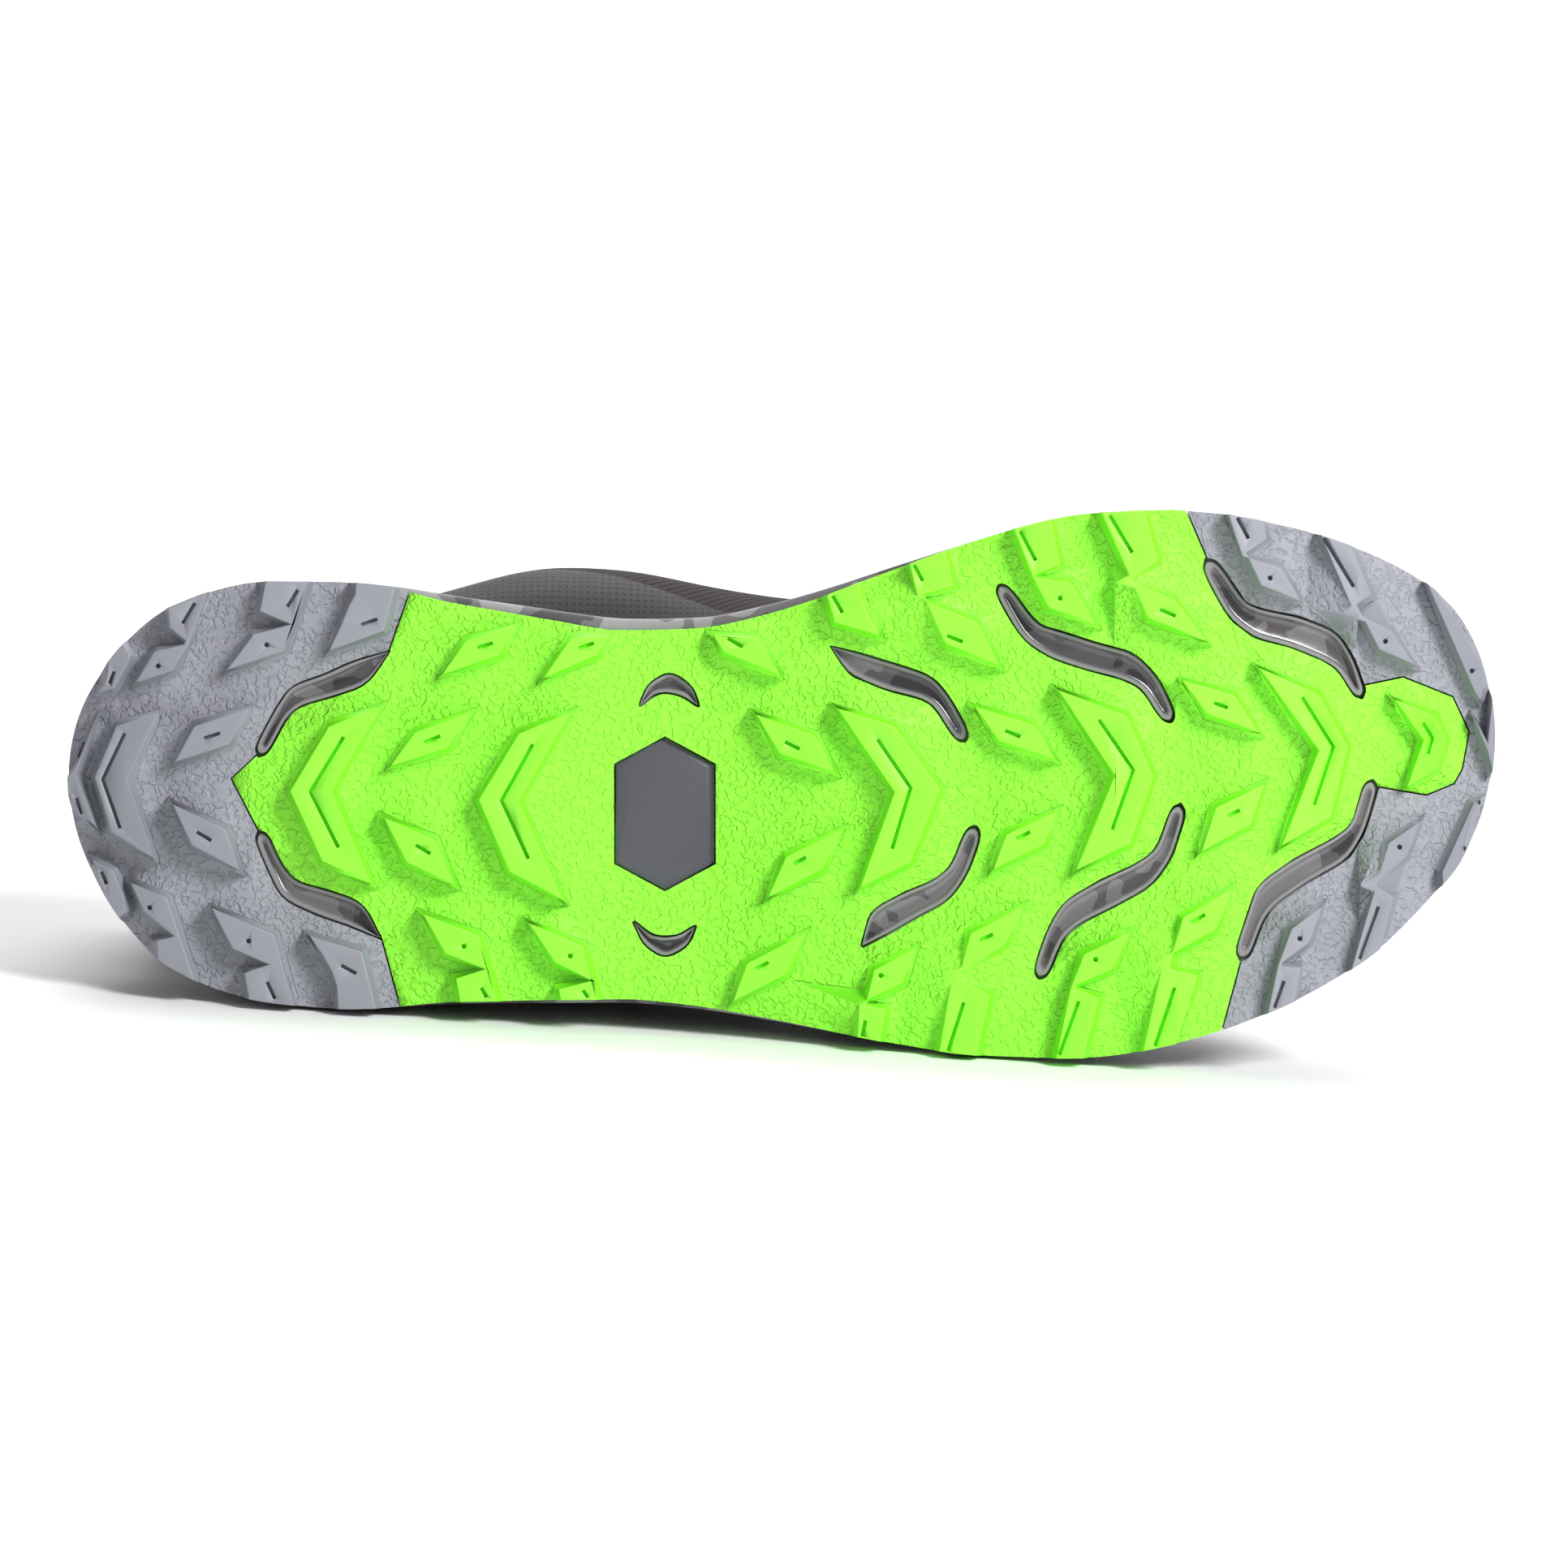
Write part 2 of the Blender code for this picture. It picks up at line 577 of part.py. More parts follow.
def inside(polygon, places):
    """Which of the places lie inside a polygon."""
    found = np.zeros(len(places), bool)
    x, y = places[:, 0], places[:, 1]
    for a, b in zip(polygon, polygon[1:] + polygon[:1]):
        if a.y == b.y:
            continue
        crosses = (y < a.y) != (y < b.y)
        found ^= crosses & (x < a.x + (y - a.y) * (b.x - a.x) / (b.y - a.y))
    return found


def filled(polygons, lines):
    """Triangles of the plane that follow every side and line: points and corner numbers."""
    points, sides = [], []
    for polygon in polygons:
        first = len(points)
        points += polygon
        sides += [(first + i, first + (i + 1) % len(polygon)) for i in range(len(polygon))]
    for line in lines:
        sides.append((len(points), len(points) + 1))
        points += line
    found, _, triangles, _, _, _ = delaunay_2d_cdt(points, sides, [], 0, NEAREST)
    return np.array([tuple(point) for point in found]), np.array(triangles)


def break_lines():
    """Lines across the sole at each row of the profile, where its planes meet."""
    reach = BALL_WIDTH
    return [[Vector((row["along"] * SOLE_LENGTH, y)) for y in (-reach, reach)] for row in PROFILE[1:-1]]


def open_sides(triangles):
    """Sides that only one triangle has, in that triangle's sense."""
    seen = {}
    for triangle in triangles:
        for a, b in zip(triangle, np.roll(triangle, -1)):
            seen[(int(a), int(b))] = True
    return [side for side in seen if side[::-1] not in seen]


def largest_patch(triangles):
    """The connected triangles with the largest count."""
    parent = list(range(int(triangles.max()) + 1))

    def root(i):
        while parent[i] != i:
            parent[i] = parent[parent[i]]
            i = parent[i]
        return i

    for a, b, c in triangles:
        parent[root(int(a))] = root(int(b))
        parent[root(int(b))] = root(int(c))
    roots = np.array([root(int(triangle[0])) for triangle in triangles])
    names, counts = np.unique(roots, return_counts=True)
    return triangles[roots == names[counts.argmax()]]


def material(name, colour, roughness):
    """Plain finish of one piece; colours are linear."""
    made = bpy.data.materials.new(name)
    made.use_nodes = True
    shader = made.node_tree.nodes["Principled BSDF"]
    shader.inputs["Base Color"].default_value = (*colour, 1.0)
    shader.inputs["Roughness"].default_value = roughness
    shader.inputs["Metallic"].default_value = 0.0
    return made


def solid(name, finish, points, faces, sharp_degrees=35):
    """One closed object in the shoe's frame, from plan points with heights."""
    shape = bmesh.new()
    corners = [shape.verts.new((x, -y, z)) for x, y, z in points]
    for face in faces:
        shape.faces.new([corners[i] for i in face])
    loose = [vertex for vertex in shape.verts if not vertex.link_faces]
    bmesh.ops.delete(shape, geom=loose, context="VERTS")
    bmesh.ops.recalc_face_normals(shape, faces=shape.faces)
    mesh = bpy.data.meshes.new(name)
    shape.to_mesh(mesh)
    shape.free()
    mesh.materials.append(finish)
    mesh.shade_smooth()
    mesh.set_sharp_from_angle(angle=math.radians(sharp_degrees))
    made = bpy.data.objects.new(name, mesh)
    bpy.context.scene.collection.objects.link(made)
    return made


def sheet_between(name, finish, lower, upper, polygons, keep, lines):
    """Solid between two height functions over the part of the plan where keep holds."""
    points, triangles = filled(polygons, lines)
    triangles = largest_patch(triangles[keep(points[triangles].mean(axis=1))])
    count = len(points)
    solid_points = [(x, y, lower(x, y)) for x, y in points] + [(x, y, upper(x, y)) for x, y in points]
    faces = [tuple(triangle) for triangle in triangles]
    faces += [tuple(i + count for i in triangle[::-1]) for triangle in triangles]
    for a, b in open_sides(triangles):
        faces.append((b, a, a + count, b + count))
    return solid(name, finish, solid_points, faces)


def outsole(zone, name, finish):
    """One rubber of the outsole: lugs below, a flat bond above, and windows right through."""
    edge = [edge_point(*key) for key in round_the_sole()]
    area = zone_outline(zone)
    windows = [window_outline(row) for row in WINDOWS]
    if zone == "centre":
        windows.append(inlay_outline())
    bases = lugs_of(zone)
    tops = [drawn_in(base, LUG_FLANK) for base in bases]

    def rubber(places):
        kept = inside(edge, places) & inside(area, places)
        for window in windows:
            kept &= ~inside(window, places)
        return kept

    points, triangles = filled([edge, area] + windows + bases + tops, break_lines())
    triangles = largest_patch(triangles[rubber(points[triangles].mean(axis=1))])
    middles = points[triangles].mean(axis=1)
    on_top = np.zeros(len(triangles), bool)
    for top in tops:
        on_top |= inside(top, middles)
    raised = set(triangles[on_top].ravel().tolist())
    low = [
        (x, y, tread_height(x) + (0.0 if i in raised else LUG_DEPTH)) for i, (x, y) in enumerate(points)
    ]

    rims = open_sides(triangles)
    rim_points = sorted({i for side in rims for i in side})
    place = {i: k for k, i in enumerate(rim_points)}
    bond_plan = [Vector(points[i]) for i in rim_points]
    bond_sides = [(place[a], place[b]) for a, b in rims]
    first = len(bond_plan)
    for line in break_lines():
        bond_sides.append((len(bond_plan), len(bond_plan) + 1))
        bond_plan += line
    found, _, bond, came_from, _, _ = delaunay_2d_cdt(bond_plan, bond_sides, [], 0, NEAREST)
    bond_points = np.array([tuple(point) for point in found])
    bond = np.array(bond)
    bond = bond[rubber(bond_points[bond].mean(axis=1))]
    number = {}
    for i, sources in enumerate(came_from):
        for source in sources:
            if source < first:
                number[rim_points[source]] = i + len(low)
    bond = largest_patch(bond) + len(low)
    top = LUG_DEPTH + RUBBER_SHEET
    high = [(x, y, tread_height(x) + top) for x, y in bond_points]
    faces = [tuple(triangle) for triangle in triangles] + [tuple(triangle[::-1]) for triangle in bond]
    for a, b in rims:
        faces.append((b, a, number[a], number[b]))
    return solid(name, finish, low + high, faces)


def arch_inlay(finish):
    """Plain six-sided plate in the middle of the centre rubber, a little deeper than it."""
    outline = inlay_outline(CLEARANCE)
    face = inlay_outline(CLEARANCE + RUBBER_SHEET / 2)
    lower = LUG_DEPTH + INLAY_RECESS
    upper = LUG_DEPTH + RUBBER_SHEET
    step = lower + RUBBER_SHEET / 4

    def keep(places):
        return inside(outline, places)

    def under(x, y):
        inner = inside(face, np.array([[x, y]]))[0]
        return tread_height(x) + (lower if inner else step)

    def over(x, y):
        return tread_height(x) + upper

    return sheet_between("arch_inlay", finish, under, over, [outline, face], keep, break_lines())


def rings_solid(name, finish, rings, sharp_degrees=35):
    """Closed solid from rings of equal count round the sole, capped straight across at both ends."""
    count = len(rings[0])
    points = [point for ring in rings for point in ring]
    faces = []
    for level in range(len(rings) - 1):
        low = level * count
        high = low + count
        for i in range(count):
            j = (i + 1) % count
            faces.append((low + i, low + j, high + j, high + i))
    half = count // 2
    for base in (0, (len(rings) - 1) * count):
        faces.append((base, base + 1, base + count - 1))
        faces.append((base + half - 1, base + half, base + half + 1))
        for i in range(1, half - 1):
            faces.append((base + i, base + i + 1, base + count - i - 1, base + count - i))
    return solid(name, finish, points, faces, sharp_degrees)


def foam_underside(x):
    return tread_height(x) + LUG_DEPTH + RUBBER_SHEET + CLEARANCE


def midsole(finish):
    """Foam from the rubber up to the rim, with the foot bed sunk inside the rim."""
    keys = round_the_sole()
    rings = []
    for row in SIDE:
        def offset(side, along, row=row):
            straight = (1 - row["height"]) * foam_proud(side, along) + row["height"] * rim_offset(side, along)
            return straight + row["out"] * SIDE_GROOVE

        ring = []
        for (side, along), point in zip(keys, foam_loop(offset)):
            bottom = foam_underside(point.x)
            top = bed_height(point.x) + FOAM_CURVES["rim"](along) * RIM_HEIGHT
            ring.append((point.x, point.y, bottom + (top - bottom) * row["height"]))
        rings.append(ring)
    inner = foam_loop(lambda side, along: rim_offset(side, along) - RIM_WALL)
    rims = [bed_height(p.x) + FOAM_CURVES["rim"](key[1]) * RIM_HEIGHT for key, p in zip(keys, inner)]
    rings.append([(p.x, p.y, height) for p, height in zip(inner, rims)])
    rings.append([(p.x, p.y, bed_height(p.x)) for p in inner])
    return rings_solid("midsole", finish, rings)


def foot_line():
    """Loop that the upper's foot follows: turns, x and y of its points on each side."""
    keys = round_the_sole()
    loop = foam_loop(lambda side, along: rim_offset(side, along) - RIM_WALL - FOOT_GAP)
    half = len(keys) // 2
    medial = list(zip(keys, loop))[: half + 1]
    lateral = list(zip(keys, loop))[half:] + [(keys[0], loop[0])]
    curves = {}
    for side, pairs in ((MEDIAL, medial), (LATERAL, lateral[::-1])):
        turns = [turn(key[1]) for key, _ in pairs]
        curves[side] = (turns, [p.x for _, p in pairs], [p.y for _, p in pairs])
    return curves


FOOT = foot_line()


def foot_point(side, bend):
    """Point of the foot's loop; straight between the points that the foam's rim has too."""
    turns, xs, ys = FOOT[side]
    return Vector((np.interp(bend, turns, xs), np.interp(bend, turns, ys)))


def upper_line(side, step):
    """Outer line of the upper from its foot to its top edge, and the pad and guard shares there."""
    row = {column: curve(step) for column, curve in UPPER_CURVES.items()}
    bend = turn(row["foot"])
    foot = foot_point(side, bend)
    nudge = 0.12
    way = foot_point(side, min(bend + nudge, math.pi)) - foot_point(side, max(bend - nudge, 0.0))
    out = Vector((-way.y, way.x)).normalized() * side
    if step in (0.0, 1.0):
        out = Vector((-1.0 if step == 0.0 else 1.0, 0.0))
    lay = row["lay"]
    reach = row[side_name("reach", side)] * (lay * THROAT_WIDTH + (1 - lay) * COLLAR_WIDTH)
    top = Vector((row["top"] * SOLE_LENGTH, side * reach))
    height = lay * instep(top.x, top.y) + (1 - lay) * row["height"] * COLLAR_HEIGHT
    inwards = foot - top
    toward = inwards.normalized() if inwards.length > 1e-6 else out
    unit = BALL_WIDTH * PER_CENT
    run = row["run"] * unit
    probe = top + toward * PROBE
    slope = (instep(top.x, top.y) - instep(probe.x, probe.y)) / PROBE
    drop = lay * slope * run + (1 - lay) * row["drop"] * unit
    bed = bed_height(foot.x) + CLEARANCE
    rim = bed_height(foot.x) + FOAM_CURVES["rim"](min(max(row["foot"], 0), 1)) * RIM_HEIGHT + CLEARANCE
    start = Vector((foot.x, foot.y, rim))
    swell = row[side_name("swell", side)] * unit
    lean = start + Vector((out.x * swell, out.y * swell, row["rise"] * unit))
    end = Vector((top.x, top.y, height))
    hold = end + Vector((toward.x * run, toward.y * run, -drop))
    line = [Vector((foot.x, foot.y, bed))]
    for t in UPPER_LEVELS:
        s = 1 - t
        line.append(start * s**3 + lean * 3 * s * s * t + hold * 3 * s * t * t + end * t**3)
    return line, row["pad"], row["guard"]


def upper_grid():
    """Columns of outer points round the upper, from the heel up the medial side to the toe and back."""
    steps = [k / UPPER_COLUMNS_A_SIDE for k in range(UPPER_COLUMNS_A_SIDE + 1)]
    keys = [(MEDIAL, s) for s in steps] + [(LATERAL, s) for s in steps[-2:0:-1]]
    lines = [upper_line(*key) for key in keys]
    points = np.array([[tuple(point) for point in line] for line, _, _ in lines])
    pads = np.array([pad for _, pad, _ in lines])
    guards = np.array([guard for _, _, guard in lines])
    return points, pads, guards


def grid_normals(points):
    """Outward normals of a grid that closes round its first axis."""
    around = np.roll(points, -1, axis=0) - np.roll(points, 1, axis=0)
    up = np.gradient(points, axis=1)
    normals = np.cross(up, around)
    return normals / np.linalg.norm(normals, axis=2, keepdims=True)


def upper(finish):
    """Knit shell: an outer and an inner wall, thicker at the collar, open at the throat and underneath."""
    outer, pads, guards = upper_grid()
    normals = grid_normals(outer)
    levels = np.array((0.0,) + UPPER_LEVELS)
    swelling = np.interp(levels, PAD_LEVELS, PAD_SHARES)
    thickness = KNIT_WALL + (COLLAR_PAD - KNIT_WALL) * pads[:, None] * swelling[None, :]
    inner = outer - normals * thickness[:, :, None]
    inner[:, 0] = outer[:, 0] - normals[:, 0] * [1, 1, 0] * KNIT_WALL
    inner[:, 0, 2] = outer[:, 0, 2]
    guarded = (levels[None, :] < guards[:, None]) & (levels[None, :] > GUARD_FROM)
    outer = outer + normals * (guarded * GUARD_STEP)[:, :, None]
    crown = (outer[:, -1] + inner[:, -1]) / 2
    crown[:, 2] += KNIT_WALL * 0.5 + KNIT_WALL * 0.4 * pads
    columns, rows = outer.shape[:2]
    wall = np.concatenate([outer, crown[:, None], inner[:, ::-1]], axis=1)
    around = wall.shape[1]
    points = wall.reshape(-1, 3)
    faces = []
    for column in range(columns):
        following = (column + 1) % columns
        for level in range(around):
            above = (level + 1) % around
            faces.append((column * around + level, following * around + level,
                          following * around + above, column * around + above))
    made = solid("upper", finish, points, faces, 60)
    punch = eyelet_punch()
    cut = made.modifiers.new("eyelets", "BOOLEAN")
    cut.operation = "DIFFERENCE"
    cut.solver = "EXACT"
    cut.object = punch
    return made


def throat_half(along):
    """Half width of the throat at a share of the length."""
    rows = UPPER[THROAT_ROW:]
    return Curve([row["top"] for row in rows], [row["reach_medial"] for row in rows])(along) * THROAT_WIDTH


def eyelet_places():
    """Plan places of the eyelets, pair by pair from the top."""
    pairs = []
    for along in EYELET_ROWS:
        reach = throat_half(along) + EYELET_EDGE
        pairs.append([Vector((along * SOLE_LENGTH, side * reach)) for side in (MEDIAL, LATERAL)])
    return pairs


def eyelet_punch():
    """Cutter with one pin through the upper at each eyelet, square to the instep."""
    shape = bmesh.new()
    for pair in eyelet_places():
        for place in pair:
            height = instep(place.x, place.y)
            lean_x = (instep(place.x + PROBE, place.y) - height) / PROBE
            lean_y = (instep(place.x, place.y + PROBE) - height) / PROBE
            axis = Vector((-lean_x, lean_y, 1.0)).normalized()
            turned = Vector((0, 0, 1)).rotation_difference(axis).to_matrix().to_4x4()
            centre = Matrix.Translation(Vector((place.x, -place.y, height)))
            bmesh.ops.create_cone(shape, cap_ends=True, segments=EYELET_SIDES, radius1=EYELET_BORE / 2,
                                  radius2=EYELET_BORE / 2, depth=KNIT_WALL * 5, matrix=centre @ turned)
    mesh = bpy.data.meshes.new("eyelet_punch")
    shape.to_mesh(mesh)
    shape.free()
    punch = bpy.data.objects.new("eyelet_punch", mesh)
    bpy.context.scene.collection.objects.link(punch)
    punch.hide_render = True
    punch.display_type = "WIRE"
    return punch


def tongue(finish):
    """Padded plate under the eyestays that fills the throat up to the laces."""
    half_of, pad_of = curve_of(TONGUE, "half"), curve_of(TONGUE, "pad")
    top, bottom = [], []
    rows = sorted([row["along"] for row in TONGUE] + list(TONGUE_BETWEEN))
    for along in rows:
        x = along * SOLE_LENGTH
        half = half_of(along) * THROAT_WIDTH
        for share in TONGUE_ACROSS:
            y = share * half
            under = instep_drop(x, y, KNIT_WALL + TONGUE_GAP)
            open_width = max(throat_half(max(along, UPPER[THROAT_ROW]["top"])) - TONGUE_MARGIN, 0.0)
            fill = 1 - min(max((abs(y) - open_width + TONGUE_MARGIN) / TONGUE_MARGIN, 0.0), 1.0)
            if along > UPPER[-1]["top"] - VAMP_OVERLAP:
                fill = 0.0
            surface = instep(x, y) - under * (1 - fill)
            edge = 1 - abs(share) ** 4
            thickness = TONGUE_PAD * pad_of(along) * (TONGUE_EDGE + (1 - TONGUE_EDGE) * edge)
            top.append((x, y, surface))
            bottom.append((x, y, surface - thickness - under * fill * 0.5))
    count = len(TONGUE_ACROSS)
    total = len(top)
    faces = []
    for i in range(len(rows) - 1):
        for j in range(count - 1):
            a = i * count + j
            faces.append((a, a + 1, a + count + 1, a + count))
            faces.append((total + a, total + a + count, total + a + count + 1, total + a + 1))
    border = list(range(count)) + [i * count + count - 1 for i in range(1, len(rows))]
    border += [(len(rows) - 1) * count + j for j in range(count - 2, -1, -1)]
    border += [i * count for i in range(len(rows) - 2, 0, -1)]
    for a, b in zip(border, border[1:] + border[:1]):
        faces.append((a, b, b + total, a + total))
    return solid("tongue", finish, top + bottom, faces, 60)


def insole(finish):
    """Sheet on the foot bed inside the upper, thinner to its edge."""
    margin = RIM_WALL + KNIT_WALL + INSOLE_GAP
    rings = []
    for inset, rise in INSOLE_EDGE:
        loop = foam_loop(lambda side, along, inset=inset: rim_offset(side, along) - margin - inset)
        rings.append([(p.x, p.y, bed_height(p.x) + CLEARANCE + rise * INSOLE_THICKNESS) for p in loop])
    return rings_solid("insole", finish, rings, 50)


def lace_strip(start, end):
    """Outline of one lace run, a little past the places that it joins."""
    way = (end - start).normalized()
    normal = Vector((-way.y, way.x)) * LACE_WIDTH / 2
    past = way * LACE_WIDTH * LACE_PAST
    return [start - past + normal, start - past - normal, end + past - normal, end + past + normal]


def laces(finish):
    """Crossings between the eyelet pairs and the bar at the lowest pair, joined where they meet."""
    pairs = eyelet_places()
    strips = [lace_strip(*pairs[-1])]
    for higher, lower in zip(pairs, pairs[1:]):
        strips.append(lace_strip(lower[0], higher[1]))
        strips.append(lace_strip(lower[1], higher[0]))

    def keep(places):
        kept = np.zeros(len(places), bool)
        for strip in strips:
            kept |= inside(strip, places)
        return kept

    def under(x, y):
        return instep(x, y) + instep_drop(x, y, LACE_CLEARANCE)

    def over(x, y):
        return instep(x, y) + instep_drop(x, y, LACE_CLEARANCE + LACE_THICKNESS)

    folds = [[Vector((x, share * THROAT_WIDTH)) for x in (0.0, SOLE_LENGTH)] for share in LACE_FOLDS]
    return sheet_between("laces", finish, under, over, strips, keep, folds)


def mass_and_centre(made, density):
    """Mass and centre of mass of a closed object in the shoe's frame."""
    mesh = made.data
    mesh.calc_loop_triangles()
    corners = np.array([vertex.co for vertex in mesh.vertices])
    triangles = np.array([triangle.vertices for triangle in mesh.loop_triangles])
    a, b, c = (corners[triangles[:, i]] for i in range(3))
    volumes = np.einsum("ij,ij->i", a, np.cross(b, c)) / 6
    centre = (volumes[:, None] * (a + b + c) / 4).sum(axis=0) / volumes.sum()
    return volumes.sum() * density, centre


def floor_normal(points, centre):
    """Direction of the floor under the shoe when it rests on its lateral side, in the shoe's frame."""
    shape = bmesh.new()
    for point in points:
        shape.verts.new(point)
    bmesh.ops.convex_hull(shape, input=shape.verts)
    shape.normal_update()
    middle = Vector(centre)
    best, found = 0.5, Vector((0, 1, 0))
    for face in shape.faces:
        corners = [loop.vert.co for loop in face.loops]
        normal = face.normal if face.normal.dot(corners[0] - middle) > 0 else -face.normal
        foot = middle + normal * (corners[0] - middle).dot(normal)
        pairs = list(zip(corners, corners[1:] + corners[:1]))
        turns = [(b - a).cross(foot - a).dot(face.normal) for a, b in pairs]
        if min(turns) >= 0 and normal.y > best:
            best, found = normal.y, normal.copy()
    shape.free()
    return found


def lie_down(pieces):
    """Parents every piece to an empty that lays the shoe on its lateral side, centred on the origin."""
    masses = [mass_and_centre(piece, DENSITY[kind]) for piece, kind in pieces]
    total = sum(mass for mass, _ in masses)
    centre = sum(mass * middle for mass, middle in masses) / total
    points = [vertex.co.copy() for piece, _ in pieces for vertex in piece.data.vertices]
    up = -floor_normal(points, centre)
    ahead = (Vector((1, 0, 0)) - up * up.x).normalized()
    turned = Matrix((ahead, up.cross(ahead), up))
    laid = np.array([turned @ point for point in points])
    low, high = laid.min(axis=0), laid.max(axis=0)
    shift = Vector((-(low[0] + high[0]) / 2, -(low[1] + high[1]) / 2, -low[2]))
    holder = bpy.data.objects.new("shoe", None)
    bpy.context.scene.collection.objects.link(holder)
    holder.matrix_world = Matrix.Translation(shift) @ turned.to_4x4()
    for made in list(bpy.context.scene.collection.objects):
        if made.type == "MESH":
            made.parent = holder


def main():
    for old in list(bpy.data.objects):
        bpy.data.objects.remove(old)
    grey = material("grey_rubber", (0.30, 0.31, 0.36), 0.75)
    green = material("green_rubber", (0.38, 1.0, 0.09), 0.7)
    dark = material("dark_rubber", (0.09, 0.087, 0.106), 0.6)
    foam = material("camouflage_foam", (0.15, 0.14, 0.15), 0.6)
    knit = material("dark_knit", (0.078, 0.07, 0.08), 0.9)
    lining = material("lining", (0.05, 0.048, 0.052), 0.95)
    cord = material("lace_braid", (0.12, 0.11, 0.12), 0.85)
    pieces = [
        (outsole("heel", "outsole_heel", grey), "rubber"),
        (outsole("centre", "outsole_centre", green), "rubber"),
        (outsole("toe", "outsole_toe", grey), "rubber"),
        (arch_inlay(dark), "rubber"),
        (midsole(foam), "foam"),
        (upper(knit), "knit"),
        (tongue(knit), "knit"),
        (insole(lining), "foam"),
        (laces(cord), "knit"),
    ]
    lie_down(pieces)


main()
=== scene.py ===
import json
import math

import bmesh
import bpy
import numpy as np
from bpy.props import FloatProperty, FloatVectorProperty, PointerProperty
from mathutils import Matrix, Vector
from mathutils.bvhtree import BVHTree


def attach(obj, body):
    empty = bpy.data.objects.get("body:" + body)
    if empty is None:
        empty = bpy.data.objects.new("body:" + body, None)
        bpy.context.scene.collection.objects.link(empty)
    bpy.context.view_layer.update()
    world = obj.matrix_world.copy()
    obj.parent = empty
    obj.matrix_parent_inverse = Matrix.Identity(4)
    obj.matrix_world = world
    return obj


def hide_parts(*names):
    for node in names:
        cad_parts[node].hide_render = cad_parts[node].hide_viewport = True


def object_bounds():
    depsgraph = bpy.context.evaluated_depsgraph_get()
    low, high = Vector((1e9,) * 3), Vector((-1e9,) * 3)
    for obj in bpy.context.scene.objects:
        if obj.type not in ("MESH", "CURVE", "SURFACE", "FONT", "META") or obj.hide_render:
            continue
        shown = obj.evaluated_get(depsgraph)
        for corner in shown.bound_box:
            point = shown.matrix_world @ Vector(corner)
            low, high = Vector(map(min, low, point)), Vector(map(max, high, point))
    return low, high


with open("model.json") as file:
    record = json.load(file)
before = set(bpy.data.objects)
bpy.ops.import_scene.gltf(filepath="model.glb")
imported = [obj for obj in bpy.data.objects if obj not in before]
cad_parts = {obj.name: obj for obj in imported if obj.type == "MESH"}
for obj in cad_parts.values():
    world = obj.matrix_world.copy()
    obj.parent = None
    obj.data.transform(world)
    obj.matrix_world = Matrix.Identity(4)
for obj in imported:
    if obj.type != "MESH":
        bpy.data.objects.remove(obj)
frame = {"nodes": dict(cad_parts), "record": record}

# Looks of a left trail running shoe that lies on its lateral side: rubbers, foam skin, knit, laces and stage.
# Places are in the shoe's own frame: x from heel to toe, y to the wearer's left, z up from the lugs' plane.
# The tread's tables give y towards the medial side, which is up in the picture.

bl_info = {
    "name": "Trail running shoe",
    "version": (1, 0, 0),
    "blender": (4, 5, 0),
    "location": "View3D > Sidebar > Shoe",
    "description": "Dresses the solids of a trail running shoe with rubber, foam, knit, laces and stitches",
    "category": "Object",
}

CAD_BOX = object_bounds()
MM = 0.001
MERGE = 0.00001
FLAT = math.radians(0.3)
SHARP = math.radians(28)
RUBBER_SHEET = 2 * MM
LUG_DEPTH = 4 * MM

# Rim of the rubbers: distance past it where no foam is, length of a bent piece, and the largest soft corner
RIM_TEST = 4 * MM
RIM_STEP = 2.2 * MM
RIM_CORNER = math.radians(25)

# Corners of the windows: share of a side that a corner's curve takes, its pieces, the least turn that is
# rounded, and the distance before a wall at which a window has no rubber
WINDOW_ROUND = 0.36
CORNER_STEPS = 3
WINDOW_TURN = math.radians(8)
WINDOW_TEST = 0.8 * MM

# Upward share of a face's normal: the least on a level face and the most on a wall
LEVEL, UPRIGHT = 0.7, 0.4
BONDED = 0.2 * MM

# Steepest face beside a lug that still looks like the base, and the least share of the lug that it climbs
RAMP = math.radians(38)
RAMP_RISE = 0.5

# Height over the base at which a lug starts, and the sharpest edge that is shaded smooth on the rubber
LUG_FOOT = 0.6 * MM
RUBBER_SMOOTH = 38

# Heights under and over the whole shoe from which rays are cast
BELOW, ABOVE = -0.05, 0.2
DOWN = Vector((0, 0, -1))

# Place of the heel's flat lug face in the shoe's own frame
HEEL_FACE = Vector((0.0514, 0.0044, 0.0))

